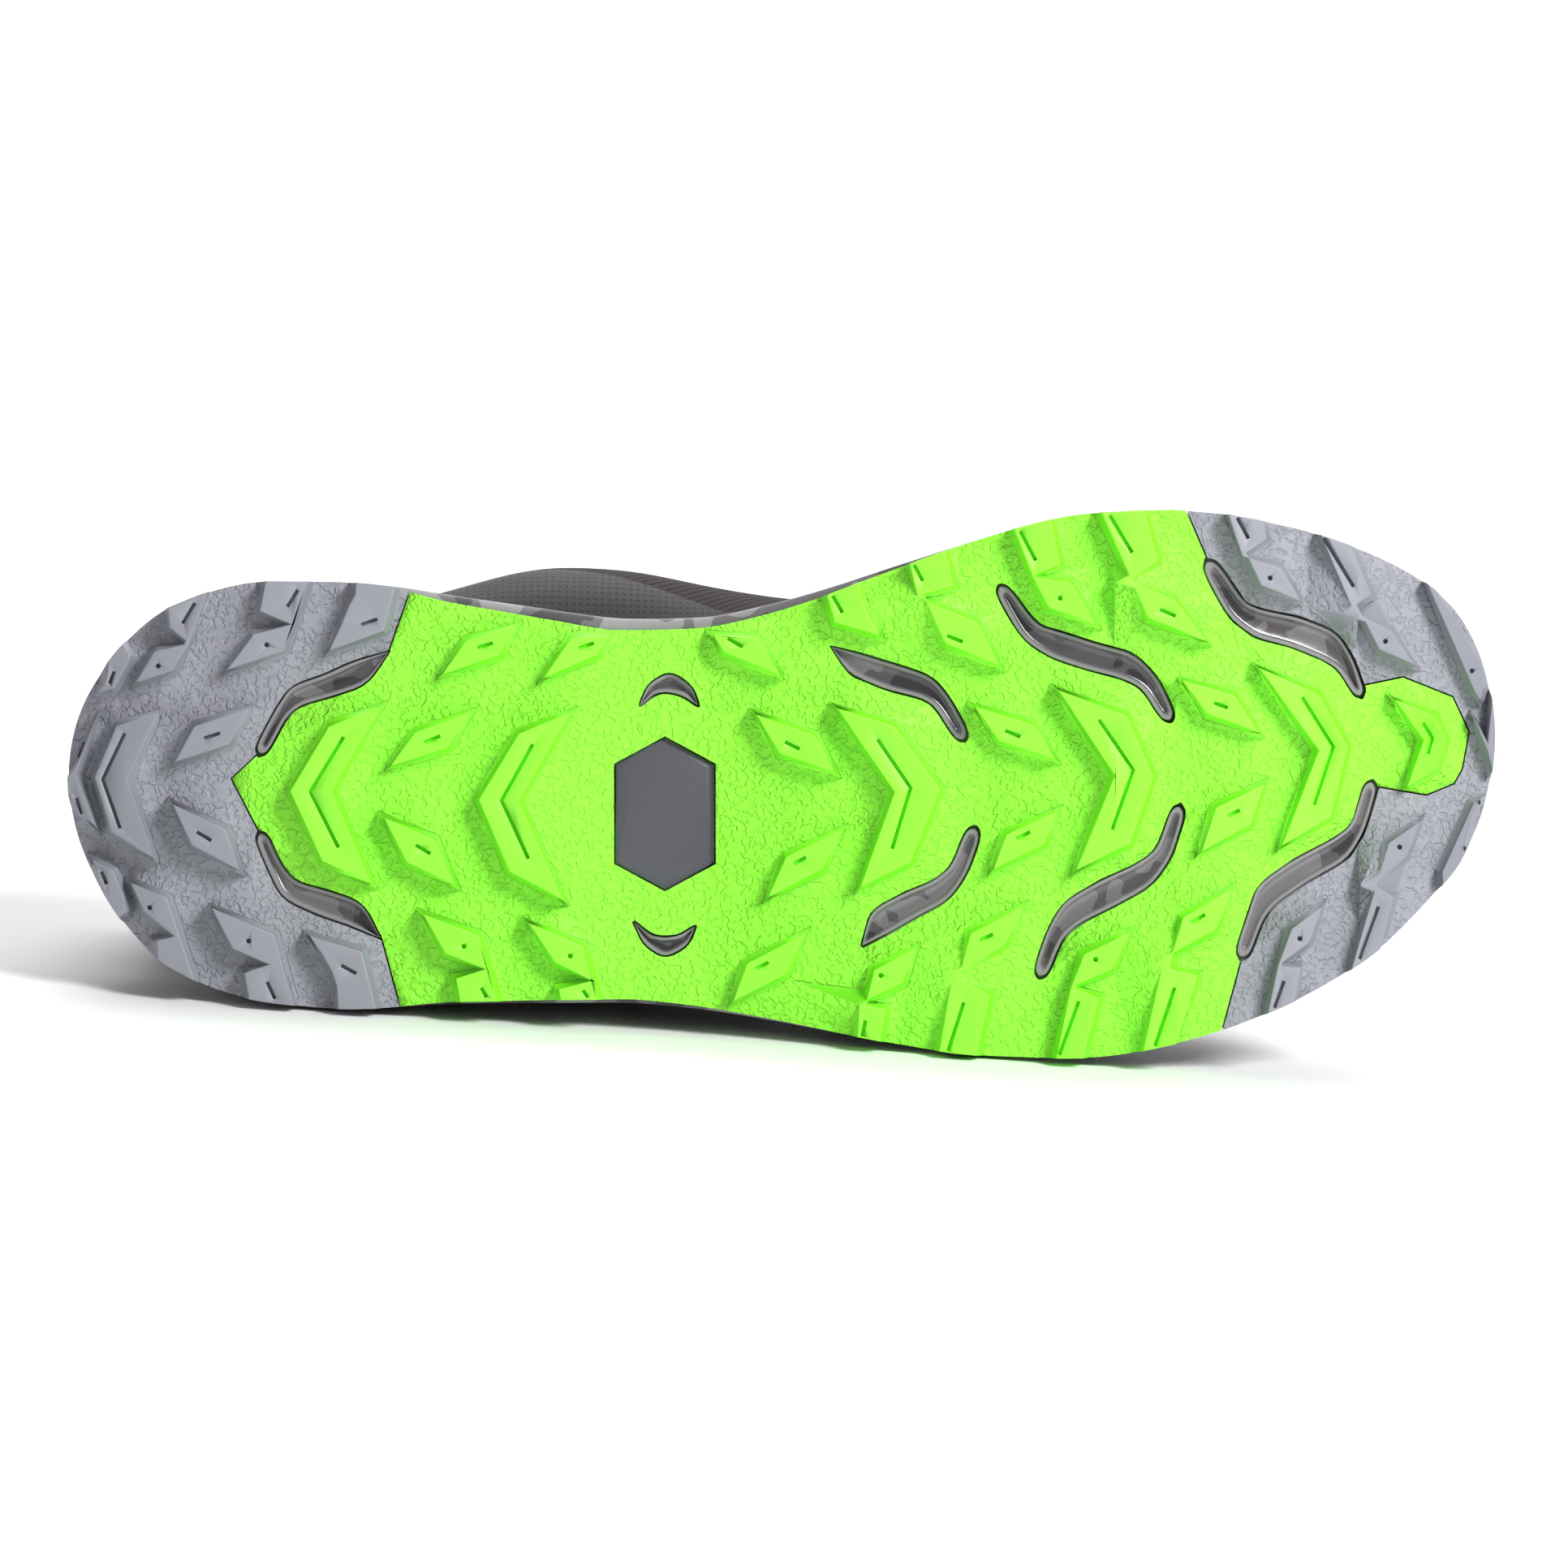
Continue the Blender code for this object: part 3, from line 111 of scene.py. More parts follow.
# Short grooves in the lugs' faces, corner by corner in millimetres
SLOTS = (
    (2.3, 7.3, 3.5, 10.5), (2.0, -1.0, 3.1, -4.3), (12.2, 12.3, 7.6, 2.8, 11.2, -7.3),
    (9.0, 22.5, 10.0, 25.0), (24.2, 34.8, 26.8, 39.0), (45.8, 38.2, 48.0, 41.7), (61.0, 34.5, 64.3, 35.7),
    (28.7, 11.2, 32.0, 12.3), (27.2, -8.0, 30.2, -9.8), (7.3, -16.2, 8.4, -18.8),
    (21.2, -32.4, 23.0, -36.6), (41.7, -38.8, 43.3, -42.3), (56.9, -35.4, 60.0, -37.1),
    (57.4, 11.5, 50.5, 0.3, 56.3, -11.2), (96.2, 10.0, 89.8, -1.5, 95.3, -13.5), (74.0, 10.3, 77.2, 11.7),
    (72.2, -10.7, 75.2, -12.5), (84.8, 29.7, 88.0, 30.8), (105.7, 29.7, 108.7, 30.8),
    (85.7, -40.0, 86.7, -42.0), (106.5, -40.5, 107.5, -42.0), (136.2, 31.8, 139.3, 30.0),
    (148.0, 10.5, 151.0, 9.0), (149.8, -14.7, 152.3, -13.2), (142.0, -36.3, 144.6, -34.8),
    (167.0, 11.0, 173.8, 1.0, 170.0, -11.5), (212.5, 15.0, 219.5, 4.7, 215.2, -7.5),
    (254.5, 19.7, 261.0, 9.5, 257.0, -2.5), (280.0, 14.5, 282.0, 11.3, 281.0, 8.0),
    (193.2, 12.8, 196.3, 11.5), (195.5, -9.5, 198.3, -8.0), (236.2, 18.5, 239.0, 17.5),
    (239.0, -4.8, 241.5, -3.5), (157.8, 40.5, 159.8, 37.0), (174.5, 46.8, 176.3, 43.5),
    (181.3, 32.3, 184.5, 31.0), (196.3, 53.7, 199.5, 47.7), (214.7, 57.0, 219.3, 49.3),
    (225.0, 37.7, 228.2, 36.3), (241.0, 56.5, 243.3, 52.3), (259.0, 52.5, 265.3, 42.5),
    (281.3, 42.5, 286.3, 33.7), (164.5, -46.7, 163.9, -50.0), (188.0, -30.3, 190.7, -29.0),
    (184.7, -43.0, 181.5, -53.0), (208.3, -42.8, 204.3, -53.8), (231.5, -26.7, 234.3, -25.0),
    (228.0, -40.0, 224.0, -52.0), (250.7, -38.7, 248.7, -44.2), (270.5, -23.5, 266.5, -34.3),
)

# Small pits where the mould's pins stood, in millimetres
PITS = (
    (19.2, 26.1), (41.6, 30.4), (17.4, -23.6), (37.9, -30.4), (82.1, -31.5), (103.9, -33.5),
    (204.5, 40.0), (247.8, 44.2), (272.0, 31.3), (290.5, 25.3), (167.7, -37.5), (211.8, -34.2),
    (254.0, -30.0), (275.0, -11.2), (292.0, -2.0), (288.8, -11.5),
)

# Windows in the rubber: centre line and half width at each of its points, in millimetres
WINDOWS = (
    (40.2, 8.7, 1.74, 44.3, 16.5, 1.71, 47.3, 20.0, 2.51, 54.1, 22.1, 2.69, 60.6, 24.7, 3.1, 66.8, 29.3,
     0.21),
    (40.2, -9.0, 1.71, 42.8, -15.1, 1.74, 45.8, -20.0, 2.51, 52.6, -22.5, 3.01, 59.7, -24.9, 3.1, 65.0,
     -30.2, 0.21),
    (157.2, 30.3, 0.21, 162.2, 26.6, 2.69, 169.9, 23.8, 3.1, 177.0, 21.8, 2.81, 180.3, 18.8, 2.1, 184.4,
     11.7, 1.89),
    (192.7, 41.8, 1.89, 198.3, 33.1, 2.39, 203.6, 30.5, 3.19, 211.0, 28.1, 3.19, 218.7, 26.1, 3.19, 223.1,
     22.7, 2.3, 226.9, 15.7, 1.89),
    (235.5, 46.8, 2.1, 241.1, 37.6, 2.6, 245.9, 34.8, 3.31, 252.9, 33.3, 3.49, 260.3, 30.5, 3.61, 263.9,
     26.7, 2.3, 266.8, 20.6, 1.6),
    (186.8, -8.1, 2.01, 183.8, -16.1, 2.1, 180.0, -20.2, 2.81, 174.0, -22.9, 3.1, 167.5, -26.5, 3.31,
     163.7, -31.7, 0.41),
    (229.0, -3.6, 1.89, 226.1, -12.5, 2.01, 221.9, -16.9, 3.01, 214.5, -20.6, 3.31, 207.1, -24.5, 3.1,
     203.6, -28.9, 2.1, 200.6, -37.0, 1.89),
    (269.2, 1.5, 1.8, 266.5, -7.4, 1.8, 262.7, -11.7, 2.9, 254.4, -16.1, 3.01, 247.3, -20.9, 3.01, 245.0,
     -25.5, 2.01, 242.3, -33.1, 1.89),
    (117.9, 17.8, 0.41, 120.6, 21.5, 1.6, 124.1, 22.9, 2.51, 128.0, 21.0, 1.71, 130.3, 17.7, 0.41),
    (116.7, -26.4, 0.41, 119.7, -30.3, 1.6, 123.2, -31.9, 2.51, 127.1, -30.5, 1.71, 129.7, -27.2, 0.41),
)

# Eyelets, pair by pair from the top: x and distance from the middle line, in millimetres
EYELETS = (
    (115.84, 26.65), (130.32, 25.4), (145.39, 23.99), (159.87, 22.54), (173.75, 20.91), (185.57, 19.01),
)

# Half width of the throat along the shoe, in millimetres
THROAT = (
    (108.4, 20.5), (145.1, 17.2), (177.9, 13.5), (195.0, 9.8), (201.2, 6.6), (203.3, 3.7), (204.0, 0.0),
)


def linear(code):
    """Linear colour of an sRGB hex value."""
    parts = [int(code[i:i + 2], 16) / 255 for i in (1, 3, 5)]
    return tuple(c / 12.92 if c <= 0.04045 else ((c + 0.055) / 1.055) ** 2.4 for c in parts)


def heel_mount():
    """The row's mount on the heel's lug face."""
    return next(mount for mount in frame["record"]["mounts"] if mount["name"] == "heel_lug_face")


def shoe_frame():
    """Matrix from the shoe's own frame to the row's, from the heel's lug face, which looks straight down."""
    face = heel_mount()
    up = -Vector(face["axis"]).normalized()
    ahead = up.cross(Vector((0, 1, 0))).normalized()
    turned = Matrix((ahead, up.cross(ahead), up)).transposed()
    shift = Vector(face["pos_m"]) - turned @ HEEL_FACE
    return Matrix.Translation(shift) @ turned.to_4x4()


TO_ROW = shoe_frame()
TO_SHOE = TO_ROW.inverted()


def colour(name, description, code):
    """Colour that can be set, from an sRGB hex value."""
    return FloatVectorProperty(name=name, description=description, default=linear(code), subtype="COLOR",
                               min=0.0, max=1.0, size=3)


def size(name, description, millimetres):
    """Length that can be set, from one in millimetres."""
    return FloatProperty(name=name, description=description, default=millimetres * MM, min=0.0,
                         subtype="DISTANCE", unit="LENGTH", precision=5)


class ShoeSoleSettings(bpy.types.PropertyGroup):
    """Sizes and colours of the rubbers and of the foam."""

    lime: colour("Lime", "Rubber under the arch and the ball", "#94FA3C")
    # Lime sides: a darker green painted on the lugs' flanks as their shade, not a colour of the rubber
    lime_flank_painted_shade: colour("Lime sides", "Sides of the lime lugs", "#7CF21F")
    grey: colour("Grey", "Rubber round the heel and the toe", "#95969F")
    # Grey sides: a darker grey painted on the lugs' flanks as their shade, not a colour of the rubber
    grey_flank_painted_shade: colour("Grey sides", "Sides of the grey lugs", "#83858E")
    inlay: colour("Inlay", "Plate in the middle of the sole", "#54535C")
    edge: size("Edge radius", "Rounding of the lugs' edges", 0.2)
    slot_width: size("Slot width", "Width of the grooves in the lugs", 0.75)
    slot_depth: size("Slot depth", "Depth of the grooves and pits in the lugs", 1.3)
    pit: size("Pit", "Radius of the small pits in the lugs", 0.55)
    grain: size("Grain", "Size of one wrinkle of the moulded grain between the lugs", 1.3)
    camo_light: colour("Camouflage light", "Palest patches of the foam's skin", "#918D91")
    camo_mid: colour("Camouflage middle", "Middle patches of the foam's skin", "#6B666C")
    camo_dark: colour("Camouflage dark", "Darkest patches of the foam's skin", "#474349")
    patch: size("Patch", "Size of one camouflage patch", 14.0)
    window_shade: FloatProperty(name="Window shade", description="Brightness of the film in the windows",
                                default=0.55, min=0.0, max=1.0)
    # Window rim: a lighter tone painted on the windows' border as a highlight of its glossy bevel
    rim: colour("Window rim", "Thin raised border of the windows", "#8E8A8E")


class ShoeUpperSettings(bpy.types.PropertyGroup):
    """Sizes and colours of the knit, its film, the lining, the laces and the stitches."""

    knit: colour("Knit", "Ground of the knit", "#2C272B")
    rib: colour("Rib", "Raised lines of the knit", "#564E53")
    film: colour("Film", "Smooth film near the sole", "#353136")
    lining: colour("Lining", "Cloth inside the collar", "#332F35")
    lace: colour("Lace", "Braid of the laces", "#57525A")
    thread: colour("Thread", "Stitches", "#8A858C")
    rib_pitch: size("Rib pitch", "Distance between two ribs of the knit", 1.6)
    dot_pitch: size("Dot pitch", "Distance between two dots of the film", 1.5)
    lace_width: size("Lace width", "Width of the flat lace", 5.4)
    lace_thickness: size("Lace thickness", "Thickness of the flat lace", 1.3)
    stitch: size("Stitch", "Length of one stitch", 2.2)
    stitch_gap: size("Stitch gap", "Gap between two stitches", 0.9)
    thread_radius: size("Thread radius", "Radius of the sewing thread", 0.22)


class ShoeStageSettings(bpy.types.PropertyGroup):
    """Camera, floor and lights."""

    lens: FloatProperty(name="Lens", description="Focal length in millimetres", default=200.0, min=20.0)
    fill: FloatProperty(name="Fill", description="Share of the frame's width that the shoe takes",
                        default=0.918, min=0.1, max=1.0)
    floor: colour("Floor", "Plain floor and backdrop", "#F4F4F5")


def merged(node):
    """Copy of a node's solid in the shoe's frame, with its loose triangles joined."""
    shape = bmesh.new()
    shape.from_mesh(frame["nodes"][node].data)
    bmesh.ops.remove_doubles(shape, verts=shape.verts, dist=MERGE)
    shape.transform(TO_SHOE)
    return shape


def linked(name, data):
    """Object in the scene with its data."""
    made = bpy.data.objects.new(name, data)
    bpy.context.scene.collection.objects.link(made)
    return made


def object_of(shape, name):
    """Object in the scene from a bmesh, which is used up."""
    mesh = bpy.data.meshes.new(name)
    shape.to_mesh(mesh)
    shape.free()
    return linked(name, mesh)


def modified(made, kind, **settings):
    """The same object with one more modifier."""
    modifier = made.modifiers.new(kind.lower(), kind)
    for label, value in settings.items():
        setattr(modifier, label, value)
    return made


def applied(made):
    """Plain mesh of an object with its modifiers applied; the object goes."""
    graph = bpy.context.evaluated_depsgraph_get()
    mesh = bpy.data.meshes.new_from_object(made.evaluated_get(graph), preserve_all_data_layers=True,
                                           depsgraph=graph)
    mesh.name = made.name
    bpy.data.objects.remove(made)
    return mesh


def placed(name, mesh, finish, slot, stands_for=()):
    """Piece from a mesh in the shoe's frame, on the shoe's body."""
    mesh.transform(TO_ROW)
    mesh.materials.clear()
    mesh.materials.append(finish)
    made = linked(name, mesh)
    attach(made, "root")
    if stands_for:
        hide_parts(*stands_for)
    return made


def smooth(mesh, degrees):
    """Smooth shading but for edges sharper than an angle."""
    mesh.shade_smooth()
    mesh.set_sharp_from_angle(angle=math.radians(degrees))


def weighted(mesh, degrees):
    """Smooth shading led by the large faces, so that flat faces stay flat beside their rounded edges."""
    smooth(mesh, degrees)
    return applied(modified(linked(mesh.name, mesh), "WEIGHTED_NORMAL", keep_sharp=True))


def vectors_of(items, name):
    """Array of a vector that each item of a mesh holds."""
    found = np.empty(len(items) * 3)
    items.foreach_get(name, found)
    return found.reshape(-1, 3)


def points_of(mesh):
    """Array of a mesh's points."""
    return vectors_of(mesh.vertices, "co")


def store(mesh, name, values):
    """Number on each point of a mesh, which its material reads."""
    layer = mesh.attributes.new(name, "FLOAT", "POINT")
    layer.data.foreach_set("value", np.asarray(values, np.float32))


def searched(shape):
    """Search tree of a bmesh, which is used up."""
    found = BVHTree.FromBMesh(shape)
    shape.free()
    return found


def tree_of(node):
    """Search tree of a node's solid in the shoe's frame."""
    return searched(merged(node))


def add(tree, kind, inputs=None, **settings):
    """Adds a node to a tree with its settings; each input gets a value, or a link from an output."""
    node = tree.nodes.new(kind)
    for name, value in settings.items():
        setattr(node, name, value)
    for name, value in (inputs or {}).items():
        if isinstance(value, bpy.types.NodeSocket):
            tree.links.new(value, node.inputs[name])
        else:
            node.inputs[name].default_value = value
    return node


def finish_of(name, **sockets):
    """Material with a Principled shader; the values that are the same all over it are set on its sockets."""
    made = bpy.data.materials.new(name)
    made.use_nodes = True
    shader = made.node_tree.nodes["Principled BSDF"]
    for label, value in sockets.items():
        shader.inputs[label.replace("_", " ")].default_value = value
    return made, made.node_tree, shader


def per(length):
    """Scale of a texture node whose pattern repeats about once in a length."""
    return 1.0 / length


def rgba(values):
    return (*values, 1.0)


def ribbon(line, half):
    """Outline of a line with a width, mitred at its corners."""
    left, right = [], []
    for i, point in enumerate(line):
        ways = [(line[j + 1] - line[j]).normalized() for j in (i - 1, i) if 0 <= j < len(line) - 1]
        normals = [Vector((-way.y, way.x)) for way in ways]
        middle = sum(normals, Vector((0, 0))).normalized()
        reach = half / middle.dot(normals[0])
        left.append(point + middle * reach)
        right.append(point - middle * reach)
    return left + right[::-1]


def ring_of(centre, radius, count=8):
    """Outline of a small round pit."""
    turns = [2 * math.pi * i / count for i in range(count)]
    return [centre + Vector((math.cos(a), math.sin(a))) * radius for a in turns]


def height_under(tree, x, y):
    """Height at which a solid is met from below, or None beside it."""
    hit = tree.ray_cast(Vector((x, y, BELOW)), -DOWN)[0]
    return None if hit is None else hit.z


def cast_down(tree, x, y):
    """Place where a surface is met from above, or None beside it."""
    return tree.ray_cast(Vector((x, y, ABOVE)), DOWN)[0]


def loft(shape, rings, close=True):
    """Quads between rings of equal count in a bmesh; returns the rings' corners."""
    made = [[shape.verts.new(point) for point in ring] for ring in rings]
    count = len(rings[0])
    for low, high in zip(made, made[1:]):
        for i in range(count if close else count - 1):
            j = (i + 1) % count
            shape.faces.new((low[i], low[j], high[j], high[i]))
    return made


def tread_cutter(settings, lugs):
    """Prisms of the slots and pits over one rubber, each a depth into the lug face that it stands on."""
    shape = bmesh.new()
    outlines = [ribbon([Vector((x, -y)) * MM for x, y in zip(row[::2], row[1::2])], settings.slot_width / 2)
                for row in SLOTS]
    outlines += [ring_of(Vector((x, -y)) * MM, settings.pit) for x, y in PITS]
    above = 1 * MM
    for outline in outlines:
        faces = [height_under(lugs, *point) for point in outline]
        if None in faces:
            continue
        rings = loft(shape, [[(p.x, p.y, z + rise) for p, z in zip(outline, faces)]
                             for rise in (-above, settings.slot_depth)])
        for ring in rings:
            shape.faces.new(ring)
    bmesh.ops.recalc_face_normals(shape, faces=shape.faces)
    return object_of(shape, "tread_cutter")


def rubber_mesh(node, settings):
    """Rubber with slots, pits and rounded lugs; lug holds 0 on the base and 1 on the lugs' faces."""
    cutter = tread_cutter(settings, tree_of(node))
    made = object_of(merged(node), node + "_rubber")
    mesh = applied(modified(made, "BOOLEAN", operation="DIFFERENCE", object=cutter))
    bpy.data.objects.remove(cutter)
    shape = bmesh.new()
    shape.from_mesh(mesh)
    bmesh.ops.remove_doubles(shape, verts=shape.verts, dist=MERGE)
    shape.verts.index_update()
    shape.normal_update()
    corners = [[corner.index for corner in face.verts] for face in shape.faces if face.normal.z > LEVEL]
    bond = BVHTree.FromPolygons([corner.co.copy() for corner in shape.verts], corners)
    bmesh.ops.dissolve_limit(shape, angle_limit=FLAT, verts=shape.verts, edges=shape.edges)
    shape.normal_update()
    rounding = {"profile": 0.5, "affect": "EDGES", "clamp_overlap": False}
    bmesh.ops.bevel(shape, geom=window_corners(shape, bond), offset=100 * WINDOW_ROUND, offset_type="PERCENT",
                    segments=CORNER_STEPS, **rounding)
    shape.normal_update()
    bend_rim(rim_walls(shape, bond))
    bmesh.ops.triangulate(shape, faces=shape.faces[:])
    shape.normal_update()
    bmesh.ops.bevel(shape, geom=lug_edges(shape, bond), offset=settings.edge, segments=2, **rounding)
    shape.to_mesh(mesh)
    shape.free()
    mesh = weighted(mesh, RUBBER_SMOOTH)
    depth = [bond.find_nearest(point)[3] for point in map(Vector, points_of(mesh))]
    share = np.clip((np.array(depth) - RUBBER_SHEET) / LUG_DEPTH, 0, 1)
    values = []
    for face in mesh.polygons:
        found = share[list(face.vertices)]
        ramp = -face.normal.z > math.cos(RAMP) and np.ptp(found) > RAMP_RISE
        values.extend(found * 0 if ramp else found)
    mesh.attributes.new("lug", "FLOAT", "CORNER").data.foreach_set("value", np.array(values, np.float32))
    return mesh


def walls_of(shape, bond, reach):
    """Upright faces on the bond, each with the plan direction in which it looks and a spot before it."""
    for face in shape.faces:
        if abs(face.normal.z) > UPRIGHT:
            continue
        if min(bond.find_nearest(point.co)[3] for point in face.verts) < BONDED:
            out = face.normal.to_2d().normalized()
            yield face, out, face.calc_center_median().to_2d() + out * reach


def rim_walls(shape, bond):
    """Upright faces round the sole's rim, each with the plan direction in which it looks out."""
    foam = tree_of("midsole")
    return {face: out for face, out, spot in walls_of(shape, bond, RIM_TEST)
            if height_under(foam, *spot) is None}


def window_corners(shape, bond):
    """Upright edges at the corners of the windows, where neither rubber nor inlay faces the wall."""
    rubbers = [tree_of(node) for node in ("outsole_heel", "outsole_centre", "outsole_toe", "arch_inlay")]
    foam = tree_of("midsole")
    walls = {face for face, _, spot in walls_of(shape, bond, WINDOW_TEST)
             if all(height_under(rubber, *spot) is None for rubber in rubbers)
             and height_under(foam, *spot) is not None}
    return [edge for edge in shape.edges
            if len(edge.link_faces) == 2 and all(face in walls for face in edge.link_faces)
            and edge.calc_face_angle(0) > WINDOW_TURN]


def bend_rim(walls):
    """Bends the straight walls of the rim to the curve that their corners lie on."""
    for edge in list(dict.fromkeys(edge for wall in walls for edge in wall.edges)):
        anchor = edge.verts[0]
        start, end = (point.co.copy() for point in edge.verts)
        count = math.ceil((end - start).to_2d().length / RIM_STEP)
        for k in range(1, count):
            anchor = bmesh.utils.edge_split(edge, anchor, 0.5)[1]
            anchor.co = start.lerp(end, k / count)
    for wall, out in walls.items():
        along = Vector((-out.y, out.x))
        reach = {point: point.co.to_2d().dot(along) for point in wall.verts}
        low, length = min(reach.values()), max(reach.values()) - min(reach.values())
        slopes = [0.0, 0.0]
        for edge in wall.edges:
            for other in edge.link_faces:
                if other == wall or other not in walls:
                    continue
                turn = math.atan2(walls[other].dot(along), walls[other].dot(out))
                if abs(turn) < RIM_CORNER:
                    far = edge.verts[0].co.to_2d().dot(along) - low > length / 2
                    slopes[far] = math.tan(turn / 2) * (1 if far else -1)
        for point, spot in reach.items():
            t = (spot - low) / length
            push = length * (t * (1 - t) ** 2 * slopes[0] + t ** 2 * (1 - t) * slopes[1])
            point.co += (out * push).to_3d()


def lug_edges(shape, bond):
    """Edges between the lugs' faces and the sides that go down to the base."""
    least = RUBBER_SHEET + LUG_FOOT
    depth = {point: bond.find_nearest(point.co)[3] for point in shape.verts}
    found = []
    for edge in shape.edges:
        if len(edge.link_faces) != 2 or not edge.is_convex or edge.calc_face_angle(0) < SHARP:
            continue
        top, side = sorted(edge.link_faces, key=lambda face: face.normal.z)
        high = min(depth[point] for point in top.verts) > least
        if top.normal.z < -LEVEL and high and min(depth[point] for point in side.verts) < least:
            found.append(edge)
    return found


def calc(tree, operation, *values):
    """Output of a math node over sockets and numbers."""
    return add(tree, "ShaderNodeMath", dict(enumerate(values)), operation=operation).outputs["Value"]


def held(tree, name):
    """Number that a mesh holds under a name."""
    return add(tree, "ShaderNodeAttribute", attribute_name=name).outputs["Fac"]


def object_place(tree):
    """Place on the piece, in its own metres."""
    return add(tree, "ShaderNodeTexCoord").outputs["Object"]


def noise_of(tree, place, length, **inputs):
    """Height of a noise with grains about a length wide."""
    inputs = {label.capitalize(): value for label, value in inputs.items()}
    return add(tree, "ShaderNodeTexNoise", {"Vector": place, "Scale": per(length), **inputs}).outputs["Fac"]


def cells_of(tree, place, pitch, randomness):
    """Distance from the middles of a net's cells, which lie a pitch apart."""
    inputs = {"Vector": place, "Scale": per(pitch), "Randomness": randomness}
    return add(tree, "ShaderNodeTexVoronoi", inputs).outputs["Distance"]


def ranged(tree, value, start, end):
    """Value from 0 to 1 turned to one from the start to the end."""
    return add(tree, "ShaderNodeMapRange", {"Value": value, "To Min": start, "To Max": end}).outputs["Result"]


def surfaced(tree, shader, tone, height, strength, distance):
    """Gives a shader its colour and a relief in which a height of 1 stands a distance up."""
    tree.links.new(tone, shader.inputs["Base Color"])
    bump = add(tree, "ShaderNodeBump", {"Height": height, "Strength": strength, "Distance": distance})
    tree.links.new(bump.outputs["Normal"], shader.inputs["Normal"])


def shaded(tone, share):
    """Darker colour: a share of another."""
    return tuple(part * share for part in tone)


def grained_rubber(name, ground, side, settings):
    """Moulded rubber: satin flat lug faces, sides painted in a darker tone as their shade, and a wrinkled
    grain on the base.
    """
    made, tree, shader = finish_of(name, IOR=1.52, Specular_IOR_Level=0.35)
    place = object_place(tree)
    lug = held(tree, "lug")
    # Mask of the lugs' sides, which get the darker painted shade colour
    flank_painted_shade_mask = calc(tree, "MULTIPLY", step_of(tree, lug, 0.04, 0.2), step_of(tree, lug, 0.99, 0.85))
    tree.links.new(ranged(tree, lug, 0.6, 0.5), shader.inputs["Roughness"])
    folds = noise_of(tree, place, settings.grain, detail=2.0, roughness=0.45, distortion=0.7)
    coarse = calc(tree, "MULTIPLY", step_of(tree, folds, 0.34, 0.56), step_of(tree, lug, 0.12, 0.02))
    high = calc(tree, "MULTIPLY_ADD", noise_of(tree, place, 0.3 * MM, detail=1.0), 0.05, coarse)
    # Colour: the ground on the lug faces and base, the darker painted shade on the lugs' sides
    surfaced(tree, shader, mixed(tree, flank_painted_shade_mask, ground, side), high, 1.0, 0.26 * MM)
    return made


def patches(tree, place, settings, tones):
    """Colour of hard-edged camouflage patches in three tones, dark to light."""
    bent = noise_of(tree, place, settings.patch, detail=2.0, roughness=0.45, distortion=0.35)
    ramp = add(tree, "ShaderNodeValToRGB", {"Fac": bent})
    ramp.color_ramp.interpolation = "CONSTANT"
    stops = ramp.color_ramp.elements
    stops.new(0.52)
    for stop, start, tone in zip(stops, (0.0, 0.42, 0.52), tones):
        stop.position = start
        stop.color = rgba(tone)
    return ramp.outputs["Color"]


def camouflage_skin(name, settings, tones, roughness, coat):
    """Printed film moulded on to EVA foam: closed, slightly glossy, with the foam's faint orange peel."""
    made, tree, shader = finish_of(name, IOR=1.48, Roughness=roughness, Coat_Weight=coat, Coat_Roughness=0.15)
    place = object_place(tree)
    # Where a piece holds rim, the lighter rim tone is painted on: a painted highlight on the windows' border
    tone = mixed(tree, held(tree, "rim"), patches(tree, place, settings, tones), settings.rim)
    surfaced(tree, shader, tone, noise_of(tree, place, 0.8 * MM, detail=2.0), 0.25, 0.15 * MM)
    return made


def rounded_corners(outline):
    """Closed outline in the plan with a short curve at each corner."""
    found = []
    for before, corner, after in zip(outline[-1:] + outline[:-1], outline, outline[1:] + outline[:1]):
        start, end = corner.lerp(before, WINDOW_ROUND), corner.lerp(after, WINDOW_ROUND)
        for k in range(CORNER_STEPS + 1):
            t = k / CORNER_STEPS
            found.append(start * (1 - t) ** 2 + corner * 2 * t * (1 - t) + end * t ** 2)
    return found


def window_ring(row, inset, below, foam):
    """Outline of a window made smaller by an inset, at a depth under the foam."""
    centres = [Vector((x, -y)) * MM for x, y in zip(row[::3], row[1::3])]
    least, cap = 0.05 * MM, 0.9
    halves = [max(half * MM - inset, least) for half in row[2::3]]
    start, end = (centres[0] - centres[1]).normalized(), (centres[-1] - centres[-2]).normalized()
    left, right = [], []
    for i, centre in enumerate(centres):
        way = (centres[min(i + 1, len(centres) - 1)] - centres[max(i - 1, 0)]).normalized()
        normal = Vector((-way.y, way.x))
        back = -start * inset if i == 0 else (-end * inset if i == len(centres) - 1 else Vector((0, 0)))
        left.append(centre + back + normal * halves[i])
        right.append(centre + back - normal * halves[i])
    cap_start = centres[0] - start * inset + start * halves[0] * cap
    cap_end = centres[-1] - end * inset + end * halves[-1] * cap
    outline = rounded_corners(left + [cap_end] + right[::-1] + [cap_start])
    return [Vector((*point, height_under(foam, *point) - below)) for point in outline]


# Floors of the windows, ring by ring: inset from the rubber and depth under the foam, both in millimetres,
# and the share of the rim's lighter tone, which is a painted highlight on the border
WINDOW_LEVELS = ((0.35, 0.05, 0), (0.35, 1.3, 0), (0.5, 1.5, 1), (0.95, 1.5, 1), (1.5, 0.6, 0.1),
                 (1.75, 0.5, 0))


